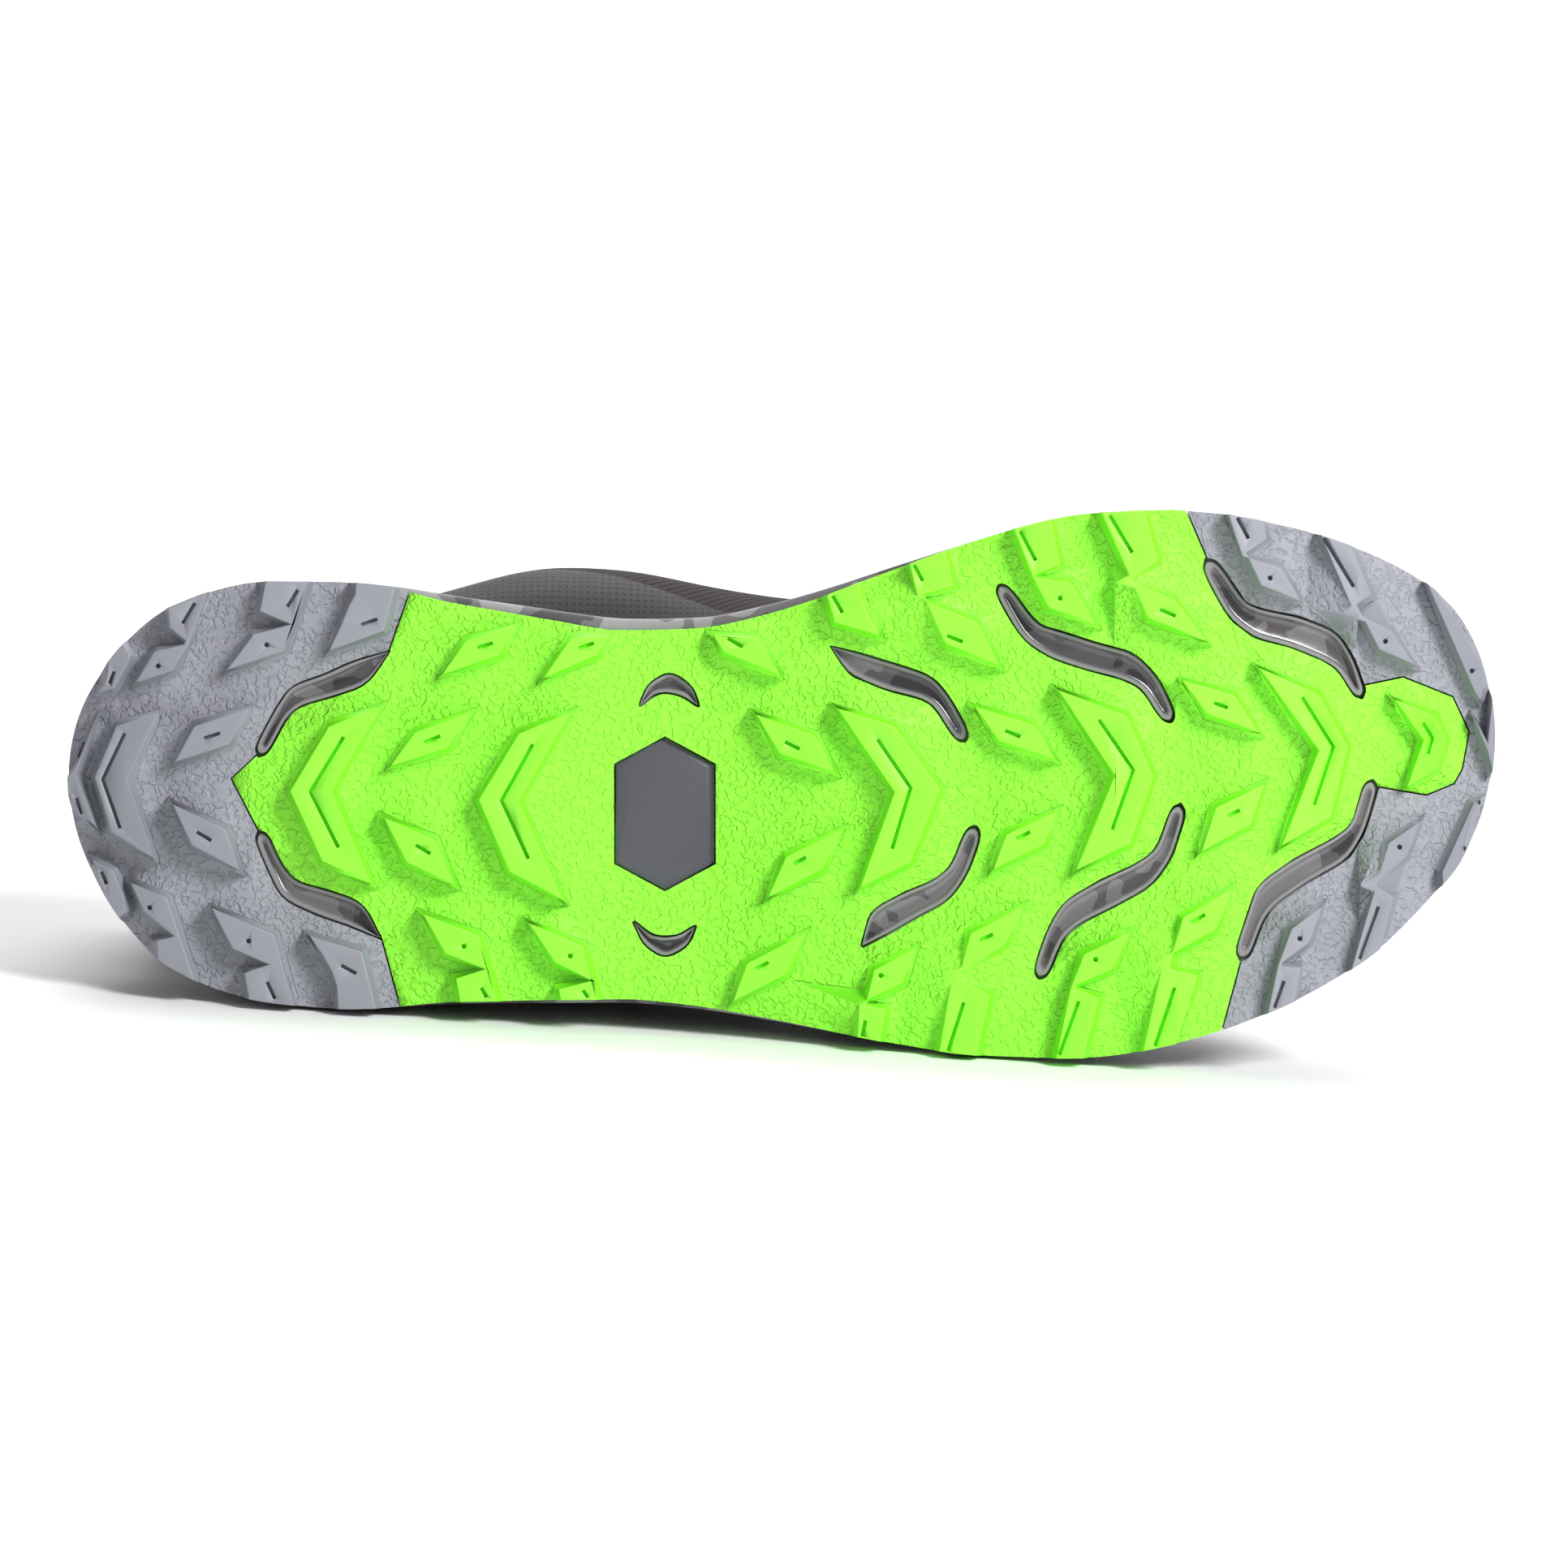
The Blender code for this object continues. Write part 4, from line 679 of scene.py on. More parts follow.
def window_mesh():
    """Dished floors of the windows under the foam: a thin raised border with a painted highlight, a slope and
    a flat floor.
    """
    foam = tree_of("midsole")
    shape = bmesh.new()
    rim = shape.verts.layers.float.new("rim")
    for row in WINDOWS:
        made = loft(shape, [window_ring(row, inset * MM, below * MM, foam)
                            for inset, below, _ in WINDOW_LEVELS])
        # Share of the border's lighter tone, a painted highlight
        for ring, (_, _, share) in zip(made, WINDOW_LEVELS):
            for point in ring:
                point[rim] = share
        bmesh.ops.triangulate(shape, faces=[shape.faces.new(ring) for ring in (made[0], made[-1])])
    bmesh.ops.recalc_face_normals(shape, faces=shape.faces)
    made = object_of(shape, "windows")
    mesh = applied(modified(made, "BEVEL", width=0.12 * MM, segments=2, limit_method="ANGLE",
                            angle_limit=math.radians(25)))
    smooth(mesh, 50)
    return mesh


# Largest bend and departure from a rectangle of two triangles that are joined, and the strength of a crease
QUAD_BEND, QUAD_SHAPE = math.radians(50), math.radians(60)
CREASE = 0.8


def softened(node, levels, crease_degrees=None):
    """Smooth mesh of a node: triangles joined to quads and subdivided, with the sharp edges as creases."""
    shape = merged(node)
    bmesh.ops.join_triangles(shape, faces=shape.faces, angle_face_threshold=QUAD_BEND,
                             angle_shape_threshold=QUAD_SHAPE)
    if crease_degrees is not None:
        layer = shape.edges.layers.float.new("crease_edge")
        limit = math.radians(crease_degrees)
        for edge in shape.edges:
            if len(edge.link_faces) == 2 and edge.calc_face_angle(0) > limit:
                edge[layer] = CREASE
    made = object_of(shape, node + "_soft")
    mesh = applied(modified(made, "SUBSURF", levels=levels, render_levels=levels))
    mesh.shade_smooth()
    return mesh


def eased(values, start, end):
    """Smooth rise of an array from 0 at the start to 1 at the end."""
    share = np.clip((values - start) / (end - start), 0, 1)
    return share * share * (3 - 2 * share)


def interpolated(values, pairs):
    """Second numbers of the pairs read at values of their first ones."""
    return np.interp(values, [a for a, _ in pairs], [b for _, b in pairs])


# Top edge of the smooth film along the shoe, over the foam's rim, in millimetres
FILM_TOP = ((0, 34), (45, 30), (80, 24), (110, 16), (145, 4), (165, -3), (205, -3), (225, 3), (250, 13),
            (296, 24))

# Width of the eyestay's film, the place along the shoe behind which it narrows to the collar, and how fast
STAY_WIDTH = 13.5
STAY_START, STAY_TAPER = 0.104, 1.5

# Slack of the soft knit on the medial side over the arch: how far it swells, where along the shoe, and the
# heights and widths between which it rises and falls
BULGE = 7.0 * MM
BULGE_MIDDLE, BULGE_REACH = 0.115, 0.042
BULGE_RISE, BULGE_FALL, BULGE_SIDE = (0.030, 0.054), (0.104, 0.074), (-0.008, -0.030)

# Line inside the shoe from which outside is told, by its ends and its heights, and the end of the collar
CORE_START, CORE_END = 0.060, 0.235
CORE = ((0.06, 0.055), (0.2, 0.042), (0.24, 0.034))
COLLAR_END = 0.106

# Slices of the shoe in which the foam's rim is read: length that they cover, their count and half thickness
SLICED, SLICES, SLICE_HALF = 0.2955, 40, 0.008

# Places along the shoe between which the film turns plain at the toe, and the map turns round at the heel
PLAIN_TOE, HEEL_TURN = (0.260, 0.274), (0.080, 0.045)


def upper_mesh():
    """Knit shell and what its material reads: outside, film, eyestay, plain toe and a map round the foot."""
    mesh = softened("upper", levels=2)
    points = points_of(mesh)
    x, y, z = points.T
    along = np.exp(-((x - BULGE_MIDDLE) / BULGE_REACH) ** 2)
    level = eased(z, *BULGE_RISE) * eased(z, *BULGE_FALL)
    points[:, 1] -= BULGE * along * level * eased(y, *BULGE_SIDE)
    mesh.vertices.foreach_set("co", points.ravel())
    mesh.update()
    height = np.where(x < COLLAR_END, z, interpolated(x, CORE))
    way = points - np.stack([np.clip(x, CORE_START, CORE_END), np.zeros_like(x), height], axis=1)
    way /= np.linalg.norm(way, axis=1, keepdims=True)
    store(mesh, "outside", (vectors_of(mesh.vertices, "normal") * way).sum(axis=1))
    foam = points_of(frame["nodes"]["midsole"].data) @ np.array(TO_SHOE.to_3x3()).T
    foam += np.array(TO_SHOE.translation)
    bins = np.linspace(0.0, SLICED, SLICES)
    rim = [foam[np.abs(foam[:, 0] - b) < SLICE_HALF][:, 2].max() for b in bins]
    above = (z - np.interp(x, bins, rim)) / MM
    store(mesh, "film", interpolated(x / MM, FILM_TOP) - above)
    past_edge = np.maximum(np.abs(y) / MM - interpolated(x / MM, THROAT), 0)
    past_end = np.maximum(x / MM - THROAT[-1][0], 0)
    stay = STAY_WIDTH - np.hypot(past_edge, past_end)
    store(mesh, "stay", np.where(x > STAY_START, stay, stay - (STAY_START - x) / MM * STAY_TAPER))
    store(mesh, "plain", eased(x, *PLAIN_TOE))
    wrap_map(mesh, x, y, z)
    return mesh


def wrap_map(mesh, x, y, z):
    """Map in metres along and round the foot; at the heel it runs round and up, with a seam at the back."""
    radius, axis_height, heel, stretch = 0.045, 0.045, 0.060, 1.1
    corners = np.empty(len(mesh.loops), np.int32)
    mesh.loops.foreach_get("vertex_index", corners)
    counts = np.empty(len(mesh.polygons), np.int32)
    mesh.polygons.foreach_get("loop_total", counts)
    side = np.repeat(np.where(vectors_of(mesh.polygons, "center")[:, 1] < 0, -1, 1), counts)
    x, y, z = x[corners], y[corners], z[corners] - axis_height
    round_heel = heel + (np.arctan2(np.abs(y), heel - x) - math.pi / 2) * radius
    up_heel = side * (math.pi / 2 * radius - z * stretch)
    share = eased(x, *HEEL_TURN)
    along = x * (1 - share) + round_heel * share
    across = np.arctan2(y, z) * radius * (1 - share) + up_heel * share
    layer = mesh.uv_layers.new(name="wrap")
    layer.data.foreach_set("uv", np.stack([along, across], axis=1).astype(np.float32).ravel())


def step_of(tree, value, low, high):
    """Smooth rise from 0 at the low value to 1 at the high one, which may be the lesser."""
    return add(tree, "ShaderNodeMapRange", {"Value": value, "From Min": low, "From Max": high},
               interpolation_type="SMOOTHSTEP").outputs["Result"]


def mixed(tree, factor, a, b):
    """Colour between two colours, each a socket or a plain colour."""
    node = add(tree, "ShaderNodeMix", data_type="RGBA")
    for name, value in (("Factor", factor), ("A", a), ("B", b)):
        socket = next(s for s in node.inputs if s.name == name and s.enabled)
        if isinstance(value, bpy.types.NodeSocket):
            tree.links.new(value, socket)
        else:
            socket.default_value = value if name == "Factor" else rgba(value)
    return next(s for s in node.outputs if s.enabled)


def ribbed(tree, place, pitch, degrees):
    """Wave across the wrap map with a pitch from crest to crest; unscaled it is 2 pi / 20."""
    turned = add(tree, "ShaderNodeMapping", {"Vector": place, "Rotation": (0, 0, math.radians(degrees))})
    crests_apart = 2 * math.pi / 20
    wave = add(tree, "ShaderNodeTexWave", {"Vector": turned.outputs["Vector"], "Scale": crests_apart / pitch,
                                           "Distortion": 0.4, "Detail": 1.0, "Detail Scale": 2.0})
    return wave.outputs["Fac"]


def blended(tree, factor, a, b):
    """Number between two numbers."""
    return add(tree, "ShaderNodeMix", {"Factor": factor, "A": a, "B": b}, data_type="FLOAT").outputs["Result"]


def knit_with_film(name, settings):
    """Ribbed polyester knit, a thin dotted film near the sole and round the eyelets, and a mesh lining with
    painted shade in its holes.
    """
    made, tree, shader = finish_of(name, Specular_IOR_Level=0.2, Sheen_Weight=0.04, Sheen_Roughness=0.5)
    place = add(tree, "ShaderNodeUVMap", uv_map="wrap").outputs["UV"]
    ribs = ribbed(tree, place, settings.rib_pitch, 52)
    loops = calc(tree, "MULTIPLY", ribs, ribbed(tree, place, settings.rib_pitch * 0.45, -38))
    dots = step_of(tree, cells_of(tree, place, settings.dot_pitch, 0.0), 0.28, 0.2)
    dot = calc(tree, "MULTIPLY", dots, calc(tree, "SUBTRACT", 1.0, held(tree, "plain")))
    outside = step_of(tree, held(tree, "outside"), -0.05, 0.05)
    film, stay = (step_of(tree, held(tree, part), -0.4, 0.4) for part in ("film", "stay"))
    smooth_part = calc(tree, "MAXIMUM", film, stay)
    knit = mixed(tree, loops, settings.knit, settings.rib)
    dotted = mixed(tree, dot, settings.film, shaded(settings.film, 0.6))
    hole = step_of(tree, cells_of(tree, place, 2.2 * MM, 0.15), 0.34, 0.22)
    # The lining's holes get a darker copy of its colour: painted shade
    lining = mixed(tree, hole, settings.lining, shaded(settings.lining, 0.35))
    tree.links.new(ranged(tree, smooth_part, 0.85, 0.5), shader.inputs["Roughness"])
    threads = calc(tree, "ADD", loops, ribs)
    flat = calc(tree, "MULTIPLY_ADD", dot, -0.35, 1.2)
    outer = blended(tree, smooth_part, threads, flat)
    relief = blended(tree, outside, calc(tree, "MULTIPLY", hole, -1.0), outer)
    tone = mixed(tree, outside, lining, mixed(tree, smooth_part, knit, dotted))
    surfaced(tree, shader, tone, relief, 0.7, 0.35 * MM)
    return made


def plain_weave(name, ground, thread, pitch):
    """Close woven cloth in two tones of thread, on the piece's own place."""
    made, tree, shader = finish_of(name, IOR=1.46, Roughness=0.9, Sheen_Weight=0.3, Sheen_Roughness=0.5)
    hole = step_of(tree, cells_of(tree, object_place(tree), pitch, 0.3), 0.55, 0.25)
    surfaced(tree, shader, mixed(tree, hole, thread, ground), hole, 0.6, -0.3 * MM)
    return made


def braid(name, settings):
    """Flat polyester braid: strands that cross in a herringbone along the lace, with painted shade in the
    troughs between them.
    """
    made, tree, shader = finish_of(name, IOR=1.46, Roughness=0.75, Sheen_Weight=0.4, Sheen_Roughness=0.4)
    strand = 1.3 * MM
    side = calc(tree, "ABSOLUTE", held(tree, "across"))
    slant = calc(tree, "MULTIPLY_ADD", side, 0.9 * settings.lace_width, held(tree, "along"))
    wave = calc(tree, "SINE", calc(tree, "MULTIPLY", slant, 2 * math.pi / strand))
    crest = step_of(tree, wave, -1.0, 1.0)
    # The troughs between the strands get a darker copy of the lace's colour: painted shade
    tone = mixed(tree, crest, shaded(settings.lace, 0.4), settings.lace)
    surfaced(tree, shader, tone, crest, 0.8, 0.3 * MM)
    return made


def moulded(name, ground, roughness, grain):
    """Plain moulded surface with a faint grain."""
    made, tree, shader = finish_of(name, IOR=1.5, Roughness=roughness)
    noise = noise_of(tree, object_place(tree), grain, detail=2.0)
    surfaced(tree, shader, mixed(tree, noise, shaded(ground, 0.9), ground), noise, 0.3, 0.15 * MM)
    return made


def path_object(name, runs):
    """Open paths of (place, up) pairs; up stands out from the surface at each point."""
    places = [place for run in runs for place, _ in run]
    ups = [up for run in runs for _, up in run]
    sides, first = [], 0
    for run in runs:
        sides += [(first + i, first + i + 1) for i in range(len(run) - 1)]
        first += len(run)
    mesh = bpy.data.meshes.new(name)
    mesh.from_pydata([tuple(place) for place in places], sides, [])
    layer = mesh.attributes.new("up", "FLOAT_VECTOR", "POINT")
    layer.data.foreach_set("vector", np.array([tuple(up) for up in ups], np.float32).ravel())
    return linked(name, mesh)


def node_group(name, sizes):
    """Empty geometry tree with a Geometry input and output, and one named input for each of its sizes."""
    tree = bpy.data.node_groups.new(name, "GeometryNodeTree")
    tree.interface.new_socket("Geometry", in_out="INPUT", socket_type="NodeSocketGeometry")
    for label in sizes:
        tree.interface.new_socket(label, in_out="INPUT", socket_type="NodeSocketFloat")
    tree.interface.new_socket("Geometry", in_out="OUTPUT", socket_type="NodeSocketGeometry")
    return tree, tree.nodes.new("NodeGroupInput"), tree.nodes.new("NodeGroupOutput")


def made_by(tree, kind, inputs=None, **settings):
    """First output of a new node."""
    return add(tree, kind, inputs, **settings).outputs[0]


def finished_tree(tree, geometry, out, finish):
    """Ends a tree with real geometry that has its material."""
    real = made_by(tree, "GeometryNodeRealizeInstances", {"Geometry": geometry})
    dressed = made_by(tree, "GeometryNodeSetMaterial", {"Geometry": real, "Material": finish})
    tree.links.new(dressed, out.inputs["Geometry"])


def grown(made, tree, sizes):
    """Plain mesh that a geometry tree makes from an object, with its inputs set to the sizes."""
    grow = made.modifiers.new("grow", "NODES")
    grow.node_group = tree
    sockets = {s.name: s.identifier for s in tree.interface.items_tree if s.in_out == "INPUT"}
    for label, value in sizes.items():
        grow[sockets[label]] = value
    return applied(made)


def up_attribute(tree):
    """Direction that stands up from the surface at each point of a path."""
    node = add(tree, "GeometryNodeInputNamedAttribute", {"Name": "up"}, data_type="FLOAT_VECTOR")
    return node.outputs["Attribute"]


def half_of(tree, value):
    return calc(tree, "MULTIPLY", value, 0.5)


def ring_curve(tree, count, radius):
    return made_by(tree, "GeometryNodeCurvePrimitiveCircle", {"Resolution": count, "Radius": radius})


def spaced_curve(tree, given, length):
    """Curve along the given paths with a point at every length."""
    curve = made_by(tree, "GeometryNodeMeshToCurve", {"Mesh": given["Geometry"]})
    return made_by(tree, "GeometryNodeResampleCurve", {"Curve": curve, "Length": length}, mode="LENGTH")


def marked_curve(tree, curve, name, value):
    """Curve whose points hold a number under a name."""
    return made_by(tree, "GeometryNodeStoreNamedAttribute", {"Geometry": curve, "Name": name, "Value": value},
                   data_type="FLOAT", domain="POINT")


def stitch_tree(finish):
    """Stitches laid end to end along paths, each a small rounded bar that lies on the surface."""
    tree, start, out = node_group("Stitches", ("Length", "Gap", "Radius"))
    given = start.outputs
    spaced = spaced_curve(tree, given, calc(tree, "ADD", given["Length"], given["Gap"]))
    tangent = made_by(tree, "GeometryNodeInputTangent")
    lengthwise = made_by(tree, "FunctionNodeAlignRotationToVector", {"Vector": tangent}, axis="X")
    upright = made_by(tree, "FunctionNodeAlignRotationToVector",
                      {"Rotation": lengthwise, "Vector": up_attribute(tree)}, axis="Z", pivot_axis="X")
    bar = made_by(tree, "GeometryNodeMeshUVSphere", {"Segments": 8, "Rings": 6, "Radius": 1.0})
    scale = made_by(tree, "ShaderNodeCombineXYZ", {"X": half_of(tree, given["Length"]), "Y": given["Radius"],
                                                   "Z": given["Radius"]})
    copies = made_by(tree, "GeometryNodeInstanceOnPoints",
                     {"Points": spaced, "Instance": bar, "Rotation": upright, "Scale": scale})
    finished_tree(tree, copies, out, finish)
    return tree


def rim_tree(finish):
    """Round rims on points, square to the surface."""
    tree, start, out = node_group("Rims", ("Radius", "Bead"))
    given = start.outputs
    swept = made_by(tree, "GeometryNodeCurveToMesh", {"Curve": ring_curve(tree, 28, given["Radius"]),
                                                      "Profile Curve": ring_curve(tree, 10, given["Bead"])})
    turned = made_by(tree, "FunctionNodeAlignRotationToVector", {"Vector": up_attribute(tree)}, axis="Z")
    copies = made_by(tree, "GeometryNodeInstanceOnPoints",
                     {"Points": given["Geometry"], "Instance": swept, "Rotation": turned})
    finished_tree(tree, copies, out, finish)
    return tree


def lace_tree(finish):
    """Flat oval lace swept along paths, with the places along and across it stored for the braid."""
    tree, start, out = node_group("Laces", ("Width", "Thickness", "Step"))
    given = start.outputs
    path = spaced_curve(tree, given, given["Step"])
    level = made_by(tree, "GeometryNodeSetCurveNormal", {"Curve": path, "Normal": up_attribute(tree)},
                    mode="FREE")
    along = add(tree, "GeometryNodeSplineParameter").outputs["Length"]
    spot = made_by(tree, "GeometryNodeInputPosition")
    across = add(tree, "ShaderNodeSeparateXYZ", {"Vector": spot}).outputs["Y"]
    marked = marked_curve(tree, level, "along", along)
    ring = marked_curve(tree, ring_curve(tree, 20, 1.0), "across", across)
    oval = made_by(tree, "ShaderNodeCombineXYZ", {"X": half_of(tree, given["Thickness"]),
                                                  "Y": half_of(tree, given["Width"]), "Z": 1.0})
    flat = made_by(tree, "GeometryNodeTransform", {"Geometry": ring, "Scale": oval})
    swept = made_by(tree, "GeometryNodeCurveToMesh",
                    {"Curve": marked, "Profile Curve": flat, "Fill Caps": True})
    finished_tree(tree, swept, out, finish)
    return tree


def met(tree, start, way):
    """Place and outward direction where a ray meets a surface."""
    place, up, _, _ = tree.ray_cast(start, way)
    if place is None:
        raise ValueError(f"no surface from {tuple(start)} along {tuple(way)}")
    return place, up if up.dot(way) < 0 else -up


def surface_of(name):
    """Search tree of a finished piece in the shoe's frame."""
    shape = bmesh.new()
    shape.from_mesh(bpy.data.objects[name].data)
    shape.transform(TO_SHOE)
    return searched(shape)


def dropped(tree, x, y, lift=0.0):
    """(place, up) on a surface under a place in the plan, lifted off it; x and y in millimetres."""
    place, up = met(tree, Vector((x * MM, y * MM, ABOVE)), DOWN)
    return place + up * lift * MM, up


def relaxed(values, rounds):
    """List with its inner values drawn between their neighbours, a few times over."""
    for _ in range(rounds):
        values[1:-1] = [(a + b * 2 + c) / 4 for a, b, c in zip(values, values[1:], values[2:])]
    return values


def throat_half(x):
    """Half width of the throat at an x, both in millimetres."""
    return float(interpolated(x, THROAT))


# Round an eyelet, in millimetres: how far along and aside the eyestay is whole, the step and the half count
# of the grid that looks for the hole, the least depth of a hole, and the rim's lift off the eyestay
PAST_HOLE, ASIDE = 3.6, 2.4
GRID_STEP, GRID_HALF = 0.4, 9
HOLE_DEPTH = 1.0
RIM_LIFT = 0.25


def height_over(shell, x, y):
    """Height of the eyestay at a place in millimetres, read on both sides of a hole."""
    hits = [cast_down(shell, spot * MM, y * MM) for spot in (x - PAST_HOLE, x + PAST_HOLE)]
    found = [hit.z for hit in hits if hit is not None]
    return sum(found) / len(found)


def mean_of(places):
    return sum(places, Vector((0, 0, 0))) / len(places)


def eyelet_face(shell, x, y):
    """(place, up) of an eyelet's mouth, from four places on the whole eyestay round it."""
    corners = [dropped(shell, x + a * PAST_HOLE, y + b * ASIDE)[0]
               for a, b in ((-1, -1), (1, 1), (1, -1), (-1, 1))]
    up = (corners[1] - corners[0]).cross(corners[3] - corners[2]).normalized()
    up = up if up.z > 0 else -up
    middle = mean_of(corners)
    steps = [GRID_STEP * i for i in range(-GRID_HALF, GRID_HALF + 1)]
    mouth = []
    for a in steps:
        for b in steps:
            spot = Vector(((x + a) * MM, (y + b) * MM, 0.0))
            spot.z = middle.z - (spot - middle).to_2d().dot(up.to_2d()) / up.z
            hit = cast_down(shell, spot.x, spot.y)
            if hit is None or hit.z < spot.z - HOLE_DEPTH * MM:
                mouth.append(spot)
    return mean_of(mouth or corners) + up * RIM_LIFT * MM, up


# Run of the lace, in millimetres: its height over the eyestay in an eyelet, over the throat's edge and under
# it, its gap over the tongue, the rise of the upper of two crossings, where the eyestay's edge is read beside
# the throat, and how far before and behind a place the tongue's slope is read
IN_EYELET, OVER_EDGE, UNDER_EDGE = -3.8, 0.8, -3.0
TONGUE_GAP, CROSSING = 0.9, 1.2
BESIDE_EDGE = 1.5
SLOPE_REACH = 4

# Pieces of one run of the lace, and the share of the way from the throat's edge to the eyelet where it dives
LACE_PIECES = 48
DIVE = 0.6


def lace_line(shell, pad, start, end, lifts, raised):
    """Path from one eyelet to another over the tongue; lifts are its heights over the throat's two edges."""
    (x_start, y_start), (x_end, y_end) = start, end
    places = []
    for i in range(LACE_PIECES + 1):
        t = i / LACE_PIECES
        x, y = x_start + (x_end - x_start) * t, y_start + (y_end - y_start) * t
        edge = throat_half(x)
        first = y * y_start > 0
        lift = lifts[0] if first else lifts[1]
        if abs(y) > edge:
            share = (abs(y) - edge) / max(abs(y_start if first else y_end) - edge, 1.0)
            lift = float(np.interp(share, (DIVE, 1.0), (lift, IN_EYELET)))
            height = height_over(shell, x, y) + lift * MM
        else:
            share = (y / edge) ** 2
            rim = dropped(shell, x, (1 if y > 0 else -1) * (edge + BESIDE_EDGE))[0].z + lift * MM
            height = rim * share + (dropped(pad, x, 0.0)[0].z + (TONGUE_GAP + raised) * MM) * (1 - share)
        places.append(Vector((x * MM, y * MM, height)))
    relaxed(places, 5)
    run = []
    for i, place in enumerate(places):
        across = (places[min(i + 1, LACE_PIECES)] - places[max(i - 1, 0)]).normalized()
        back, ahead = (dropped(pad, place.x / MM + reach, 0.0)[0].z for reach in (-SLOPE_REACH, SLOPE_REACH))
        along = Vector((1, 0, (ahead - back) / (2 * SLOPE_REACH * MM))).normalized()
        up = along.cross(across)
        run.append((place, (up if up.z > 0 else -up).normalized()))
    return run


def lace_run(shell, pad, low, high, side, over):
    """One crossing: out of one eyelet, over the tongue, and under the eyestay to the next eyelet across."""
    return lace_line(shell, pad, (low[0], side * low[1]), (high[0], -side * high[1]), (OVER_EDGE, UNDER_EDGE),
                     CROSSING if over else 0.0)


def lace_bar(shell, pad, low):
    """Bar at the lowest eyelets, down both of them."""
    return lace_line(shell, pad, (low[0], low[1]), (low[0], -low[1]), (OVER_EDGE, OVER_EDGE), 0.0)


def line_over(surface, places, lift):
    """Path dropped on to a surface through plan places in millimetres."""
    spots, ups = zip(*[dropped(surface, x, y, lift) for x, y in places])
    return [(place, up.normalized()) for place, up in zip(relaxed(list(spots), 3), relaxed(list(ups), 3))]


# Seams, in millimetres: distance from the throat's edge and start along the shoe of each, where they turn
# round the throat's end, how far under the collar's edge its seam runs, and the lift off the knit
SEAMS = ((2.2, 112.0), (STAY_WIDTH - 1.0, 116.0), (STAY_WIDTH - 2.8, 116.0))
SEAM_TURN = 196.0
COLLAR_SEAM = 13.0
SEAM_LIFT = 0.1


def throat_line(offset, start, end):
    """Plan places at a distance from the throat's edge, from one side round its toe end to the other."""
    tip = THROAT[-1][0] + offset
    side = [(float(x), throat_half(x) + offset) for x in np.linspace(start, end, 40)]
    reach = side[-1][1]
    turns = [math.pi / 2 * i / 14 for i in range(1, 14)]
    half = side + [(end + (tip - end) * math.sin(a), reach * math.cos(a)) for a in turns]
    return half + [(tip, 0.0)] + [(x, -y) for x, y in half[::-1]]


# Middle of the collar's mouth, the degrees at which its seam starts and through which it turns, the seam's
# pieces, the distances in millimetres at which the collar's top is looked for, and a distance past the collar
COLLAR_MIDDLE = Vector((0.062, 0.0, 0.0))
COLLAR_FIRST, COLLAR_TURN = 52, 256
COLLAR_PIECES = 144
COLLAR_REACHES = range(20, 64, 2)
PAST_COLLAR = 0.12


def collar_line(surface, drop, lift):
    """Path round the outside of the collar, a distance under its edge."""
    turns = [math.radians(COLLAR_FIRST + COLLAR_TURN * i / COLLAR_PIECES) for i in range(COLLAR_PIECES + 1)]
    ways = [Vector((math.cos(turn), math.sin(turn), 0)) for turn in turns]
    tops = []
    for way in ways:
        spots = [COLLAR_MIDDLE + way * reach * MM for reach in COLLAR_REACHES]
        hits = [cast_down(surface, spot.x, spot.y) for spot in spots]
        tops.append(max(hit.z for hit in hits if hit is not None))
    relaxed(tops, 20)
    run = []
    for way, top in zip(ways, tops):
        start = COLLAR_MIDDLE + way * PAST_COLLAR
        start.z = top - drop * MM
        place, up = met(surface, start, -way)
        run.append((place + up * lift * MM, up))
    return run


class SHOE_OT_outsole(bpy.types.Operator):
    """Dress the three rubbers of the outsole with rounded lugs, slots, pits and grain."""

    bl_idname = "shoe.outsole"
    bl_label = "Outsole"

    def execute(self, context):
        settings = context.scene.shoe_sole
        # The second colour of each rubber is the painted shade on its lugs' sides
        lime = grained_rubber("lime moulded rubber", settings.lime, settings.lime_flank_painted_shade, settings)
        grey = grained_rubber("grey moulded rubber", settings.grey, settings.grey_flank_painted_shade, settings)
        for part, finish, slot in (("heel", grey, "grey_rubber"), ("centre", lime, "green_rubber"),
                                   ("toe", grey, "grey_rubber")):
            node = "outsole_" + part
            placed("tread_" + part, rubber_mesh(node, settings), finish, slot, [node])
        return {"FINISHED"}


class SHOE_OT_inlay(bpy.types.Operator):
    """Finish the plain six-sided inlay in the middle of the outsole."""

    bl_idname = "shoe.inlay"
    bl_label = "Inlay"

    def execute(self, context):
        settings = context.scene.shoe_sole
        shape = merged("arch_inlay")
        bmesh.ops.dissolve_limit(shape, angle_limit=FLAT, verts=shape.verts, edges=shape.edges)
        mesh = applied(modified(object_of(shape, "inlay_shape"), "BEVEL", width=settings.edge, segments=3))
        smooth(mesh, 40)
        finish = moulded("dark satin rubber", settings.inlay, roughness=0.42, grain=0.5 * MM)
        placed("inlay_plate", mesh, finish, "dark_rubber", ["arch_inlay"])
        return {"FINISHED"}


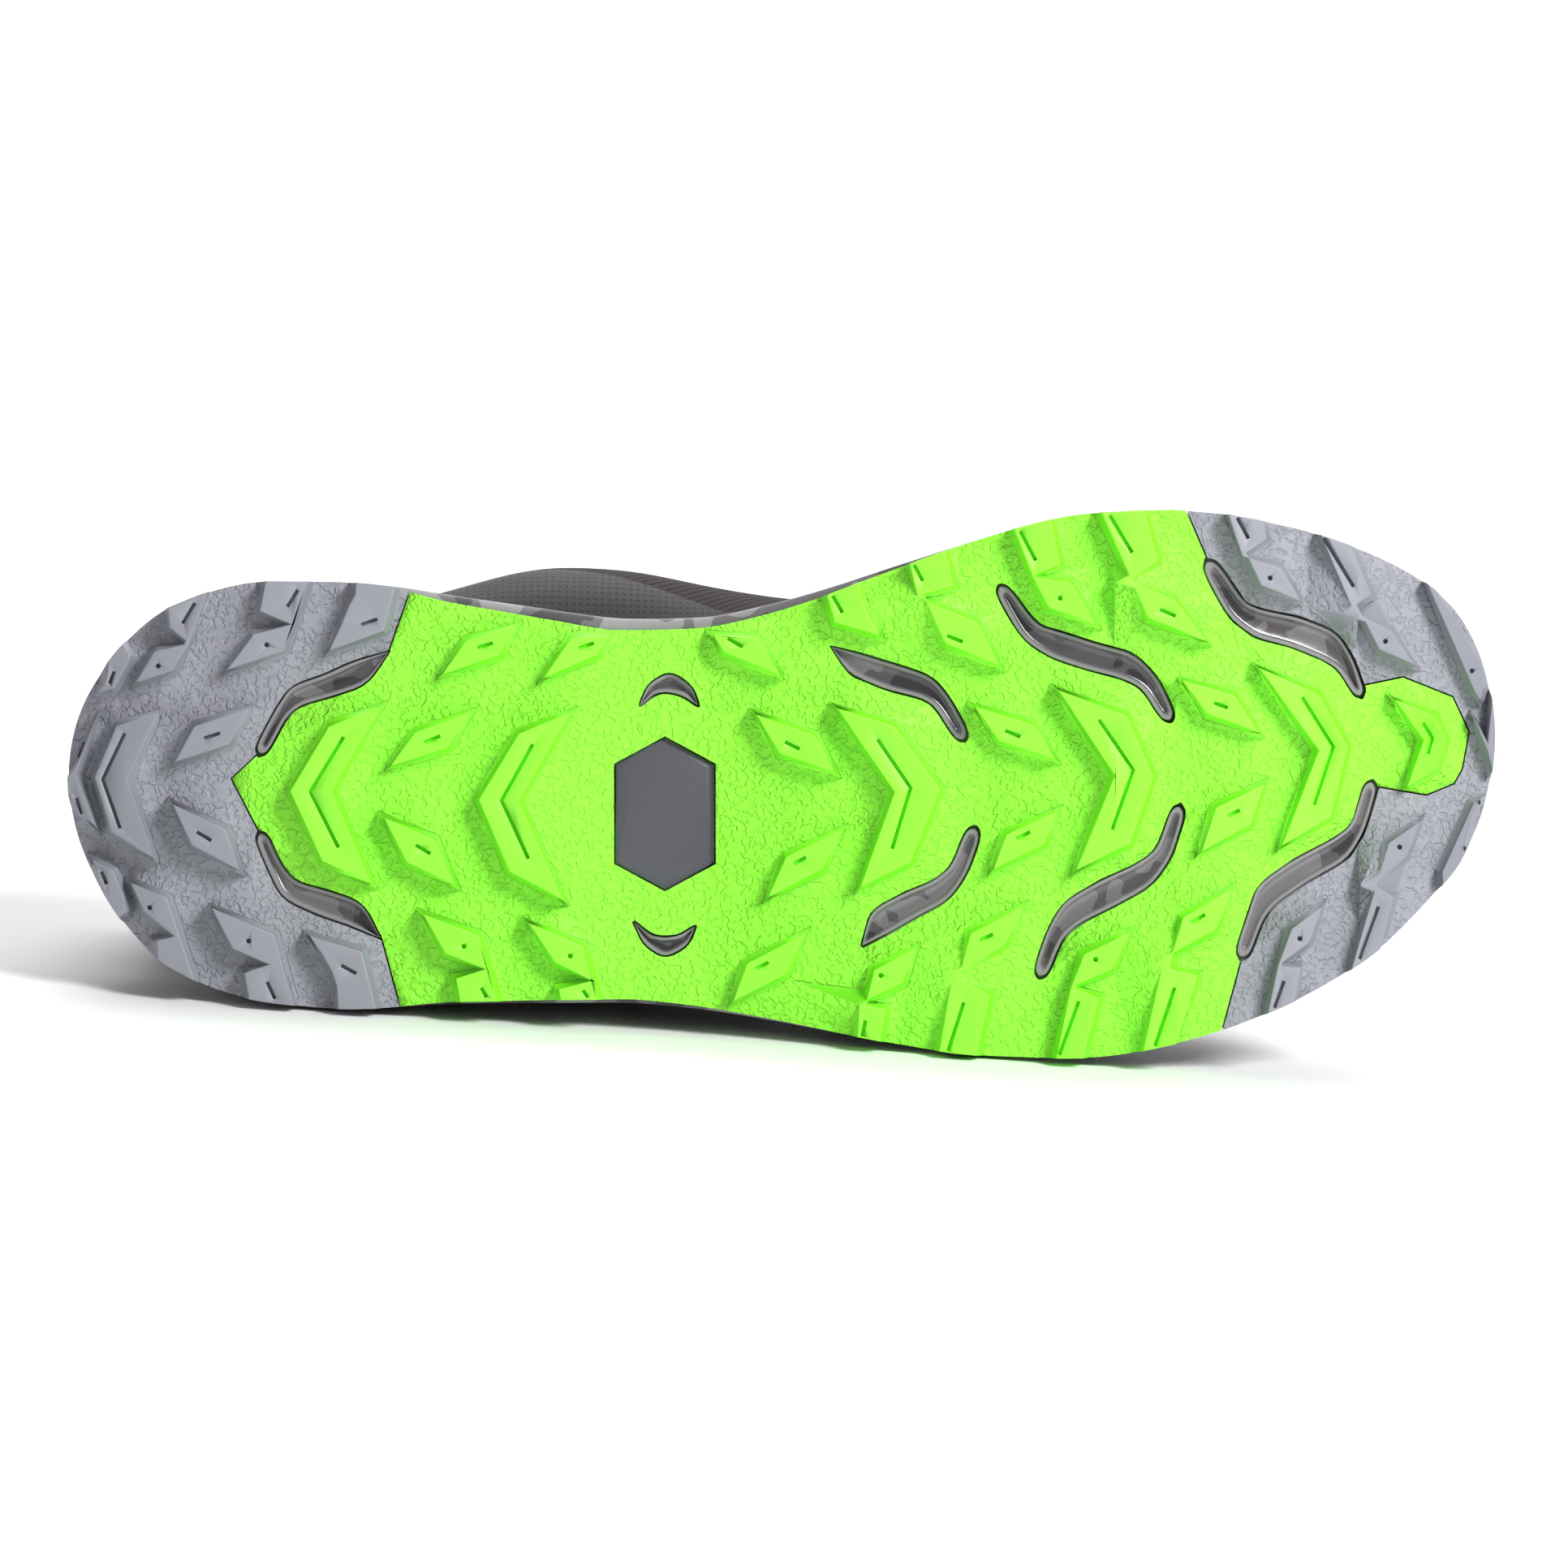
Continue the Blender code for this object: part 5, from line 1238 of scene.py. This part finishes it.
class SHOE_OT_midsole(bpy.types.Operator):
    """Round the foam, give it its camouflage skin and make the floors of the windows."""

    bl_idname = "shoe.midsole"
    bl_label = "Midsole"

    def execute(self, context):
        settings = context.scene.shoe_sole
        tones = (settings.camo_dark, settings.camo_mid, settings.camo_light)
        skin = camouflage_skin("camouflage film on foam", settings, tones, roughness=0.5, coat=0.05)
        smoke = [shaded(tone, settings.window_shade) for tone in tones]
        gloss = camouflage_skin("smoked glossy film over foam", settings, smoke, roughness=0.22, coat=0.8)
        foam = softened("midsole", levels=2, crease_degrees=32)
        placed("foam", foam, skin, "camouflage_foam", ["midsole"])
        placed("windows", window_mesh(), gloss, "camouflage_foam")
        return {"FINISHED"}


class SHOE_OT_upper(bpy.types.Operator):
    """Dress the upper with knit, film and lining."""

    bl_idname = "shoe.upper"
    bl_label = "Upper"

    def execute(self, context):
        settings = context.scene.shoe_upper
        finish = knit_with_film("ribbed knit with fused film", settings)
        shell = placed("knit_shell", upper_mesh(), finish, "dark_knit", ["upper"])
        return {"FINISHED"}


class SHOE_OT_tongue(bpy.types.Operator):
    """Dress the padded tongue."""

    bl_idname = "shoe.tongue"
    bl_label = "Tongue"

    def execute(self, context):
        settings = context.scene.shoe_upper
        finish = plain_weave("spacer mesh", settings.lining, settings.film, 1.1 * MM)
        pad = placed("tongue_pad", softened("tongue", levels=2), finish, "dark_knit", ["tongue"])
        return {"FINISHED"}


class SHOE_OT_insole(bpy.types.Operator):
    """Dress the insole."""

    bl_idname = "shoe.insole"
    bl_label = "Insole"

    def execute(self, context):
        settings = context.scene.shoe_upper
        finish = plain_weave("brushed lining cloth", settings.lining, settings.knit, 0.9 * MM)
        bed = softened("insole", levels=2, crease_degrees=40)
        placed("footbed", bed, finish, "lining", ["insole"])
        return {"FINISHED"}


class SHOE_OT_laces(bpy.types.Operator):
    """Run the flat lace through the eyelets, with its ends hidden under the top pair."""

    bl_idname = "shoe.laces"
    bl_label = "Laces"

    def execute(self, context):
        settings = context.scene.shoe_upper
        shell, pad = surface_of("knit_shell"), surface_of("tongue_pad")
        runs = [lace_bar(shell, pad, EYELETS[-1])]
        for i in range(len(EYELETS) - 1, 0, -1):
            for side in (1, -1):
                over = (side > 0) == (i % 2 == 0)
                runs.append(lace_run(shell, pad, EYELETS[i], EYELETS[i - 1], side, over))
        finish = braid("flat polyester braid", settings)
        sizes = {"Width": settings.lace_width, "Thickness": settings.lace_thickness, "Step": 1.0 * MM}
        mesh = grown(path_object("lace_paths", runs), lace_tree(finish), sizes)
        mesh.shade_smooth()
        placed("lace", mesh, finish, "lace_braid", ["laces"])
        return {"FINISHED"}


class SHOE_OT_eyelets(bpy.types.Operator):
    """Set a slim rim on each punched eyelet."""

    bl_idname = "shoe.eyelets"
    bl_label = "Eyelets"

    def execute(self, context):
        settings = context.scene.shoe_upper
        shell = surface_of("knit_shell")
        points = [[eyelet_face(shell, x, side * reach)] for x, reach in EYELETS for side in (1, -1)]
        finish = moulded("moulded nylon", settings.film, roughness=0.35, grain=0.4 * MM)
        sizes = {"Radius": 2.6 * MM, "Bead": 0.55 * MM}
        mesh = grown(path_object("eyelet_points", points), rim_tree(finish), sizes)
        mesh.shade_smooth()
        placed("eyelet_rims", mesh, finish, "dark_knit")
        return {"FINISHED"}


class SHOE_OT_stitches(bpy.types.Operator):
    """Sew round the eyestay, the throat and the collar."""

    bl_idname = "shoe.stitches"
    bl_label = "Stitches"

    def execute(self, context):
        settings = context.scene.shoe_upper
        shell = surface_of("knit_shell")
        runs = [line_over(shell, throat_line(offset, start, SEAM_TURN), SEAM_LIFT) for offset, start in SEAMS]
        runs.append(collar_line(shell, COLLAR_SEAM, SEAM_LIFT))
        finish = moulded("polyester thread", settings.thread, roughness=0.6, grain=0.3 * MM)
        sizes = {"Length": settings.stitch, "Gap": settings.stitch_gap, "Radius": settings.thread_radius}
        mesh = grown(path_object("seam_paths", runs), stitch_tree(finish), sizes)
        mesh.shade_smooth()
        placed("stitches", mesh, finish, "dark_knit")
        return {"FINISHED"}


# Soft lights: name, place, target if not the shoe's middle, power and width; then the sky's strength
LIGHTS = (
    ("key", (1.0, -0.95, 1.1), None, 32.0, 0.55),
    ("fill", (-0.9, -1.4, 0.5), None, 2.0, 1.4),
    ("top", (0.1, 0.7, 1.6), None, 15.0, 1.4),
    ("backdrop", (0.0, 0.9, 1.9), (0.0, 2.1, 0.7), 30.0, 1.8),
)
SKY = 0.16


def area_light(name, place, target, power, width):
    """Soft square light that looks at a target."""
    data = bpy.data.lights.new(name, "AREA")
    data.energy = power
    data.size = width
    made = linked(name, data)
    made.location = place
    made.rotation_euler = (Vector(target) - Vector(place)).to_track_quat("-Z", "Y").to_euler()


class SHOE_OT_stage(bpy.types.Operator):
    """Set the plain floor, the soft lights and the camera that looks straight at the sole."""

    bl_idname = "shoe.stage"
    bl_label = "Stage"

    def execute(self, context):
        settings = context.scene.shoe_stage
        self.lay_floor(settings)
        middle = (CAD_BOX[0] + CAD_BOX[1]) / 2
        for name, place, target, power, width in LIGHTS:
            area_light(name, place, target or middle, power, width)
        world = bpy.data.worlds.new("studio")
        world.use_nodes = True
        sky = world.node_tree.nodes["Background"].inputs
        sky["Color"].default_value = rgba((1, 1, 1))
        sky["Strength"].default_value = SKY
        context.scene.world = world
        context.scene.view_settings.view_transform = "Standard"
        self.aim_camera(settings)
        return {"FINISHED"}

    def lay_floor(self, settings):
        """Floor that curves up into a backdrop well behind the shoe."""
        front, back, half, bend, rise, pieces = -3.0, 1.6, 4.0, 0.5, 2.4, 16
        turns = [math.pi / 2 * i / pieces for i in range(1, pieces + 1)]
        profile = [(front, 0.0), (back, 0.0)]
        profile += [(back + bend * math.sin(a), bend * (1 - math.cos(a))) for a in turns]
        profile.append((back + bend, rise))
        shape = bmesh.new()
        loft(shape, [[(x, y, z) for y, z in profile] for x in (-half, half)], close=False)
        floor = object_of(shape, "floor")
        floor.data.shade_smooth()
        finish, _, _ = finish_of("matt paper", Base_Color=rgba(settings.floor), Roughness=0.9)
        floor.data.materials.append(finish)

    def aim_camera(self, settings):
        """Camera square to the lug faces, with the shoe level and the medial side up."""
        data = bpy.data.cameras.new("camera")
        data.lens = settings.lens
        made = linked("camera", data)
        turned = TO_ROW.to_3x3()
        ahead, left, up = turned.col[0], turned.col[1], turned.col[2]
        points = np.concatenate([points_of(node.data) for node in frame["nodes"].values()])
        along = points @ np.array(ahead)
        across = points @ np.array(-left)
        low, high = along.min(), along.max()
        distance = (high - low) / settings.fill * data.lens / data.sensor_width
        face = Vector(heel_mount()["pos_m"])
        middle = ahead * (low + high) / 2 - left * (across.min() + across.max()) / 2 + up * face.dot(up)
        aim = Matrix((ahead, -left, -up)).transposed().to_4x4()
        made.matrix_world = Matrix.Translation(middle - up * distance) @ aim
        bpy.context.scene.camera = made


OPERATORS = (SHOE_OT_outsole, SHOE_OT_inlay, SHOE_OT_midsole, SHOE_OT_upper, SHOE_OT_tongue, SHOE_OT_insole,
             SHOE_OT_laces, SHOE_OT_eyelets, SHOE_OT_stitches, SHOE_OT_stage)


class SHOE_PT_panel(bpy.types.Panel):
    """Sizes, colours and pieces of the shoe."""

    bl_idname = "SHOE_PT_panel"
    bl_label = "Trail running shoe"
    bl_space_type = "VIEW_3D"
    bl_region_type = "UI"
    bl_category = "Shoe"

    def draw(self, context):
        for group in (getattr(context.scene, name) for name in GROUPS):
            box = self.layout.box()
            for name in group.bl_rna.properties.keys():
                if name not in ("rna_type", "name"):
                    box.prop(group, name)
        for operator in OPERATORS:
            self.layout.operator(operator.bl_idname)


GROUPS = {"shoe_sole": ShoeSoleSettings, "shoe_upper": ShoeUpperSettings, "shoe_stage": ShoeStageSettings}
CLASSES = (*GROUPS.values(), *OPERATORS, SHOE_PT_panel)


def register():
    for item in CLASSES:
        bpy.utils.register_class(item)
    for name, group in GROUPS.items():
        setattr(bpy.types.Scene, name, PointerProperty(type=group))


def unregister():
    for name in GROUPS:
        delattr(bpy.types.Scene, name)
    for item in reversed(CLASSES):
        bpy.utils.unregister_class(item)


def main():
    register()
    for operator in OPERATORS:
        group, name = operator.bl_idname.split(".")
        getattr(getattr(bpy.ops, group), name)()


if __name__ == "__main__":
    main()
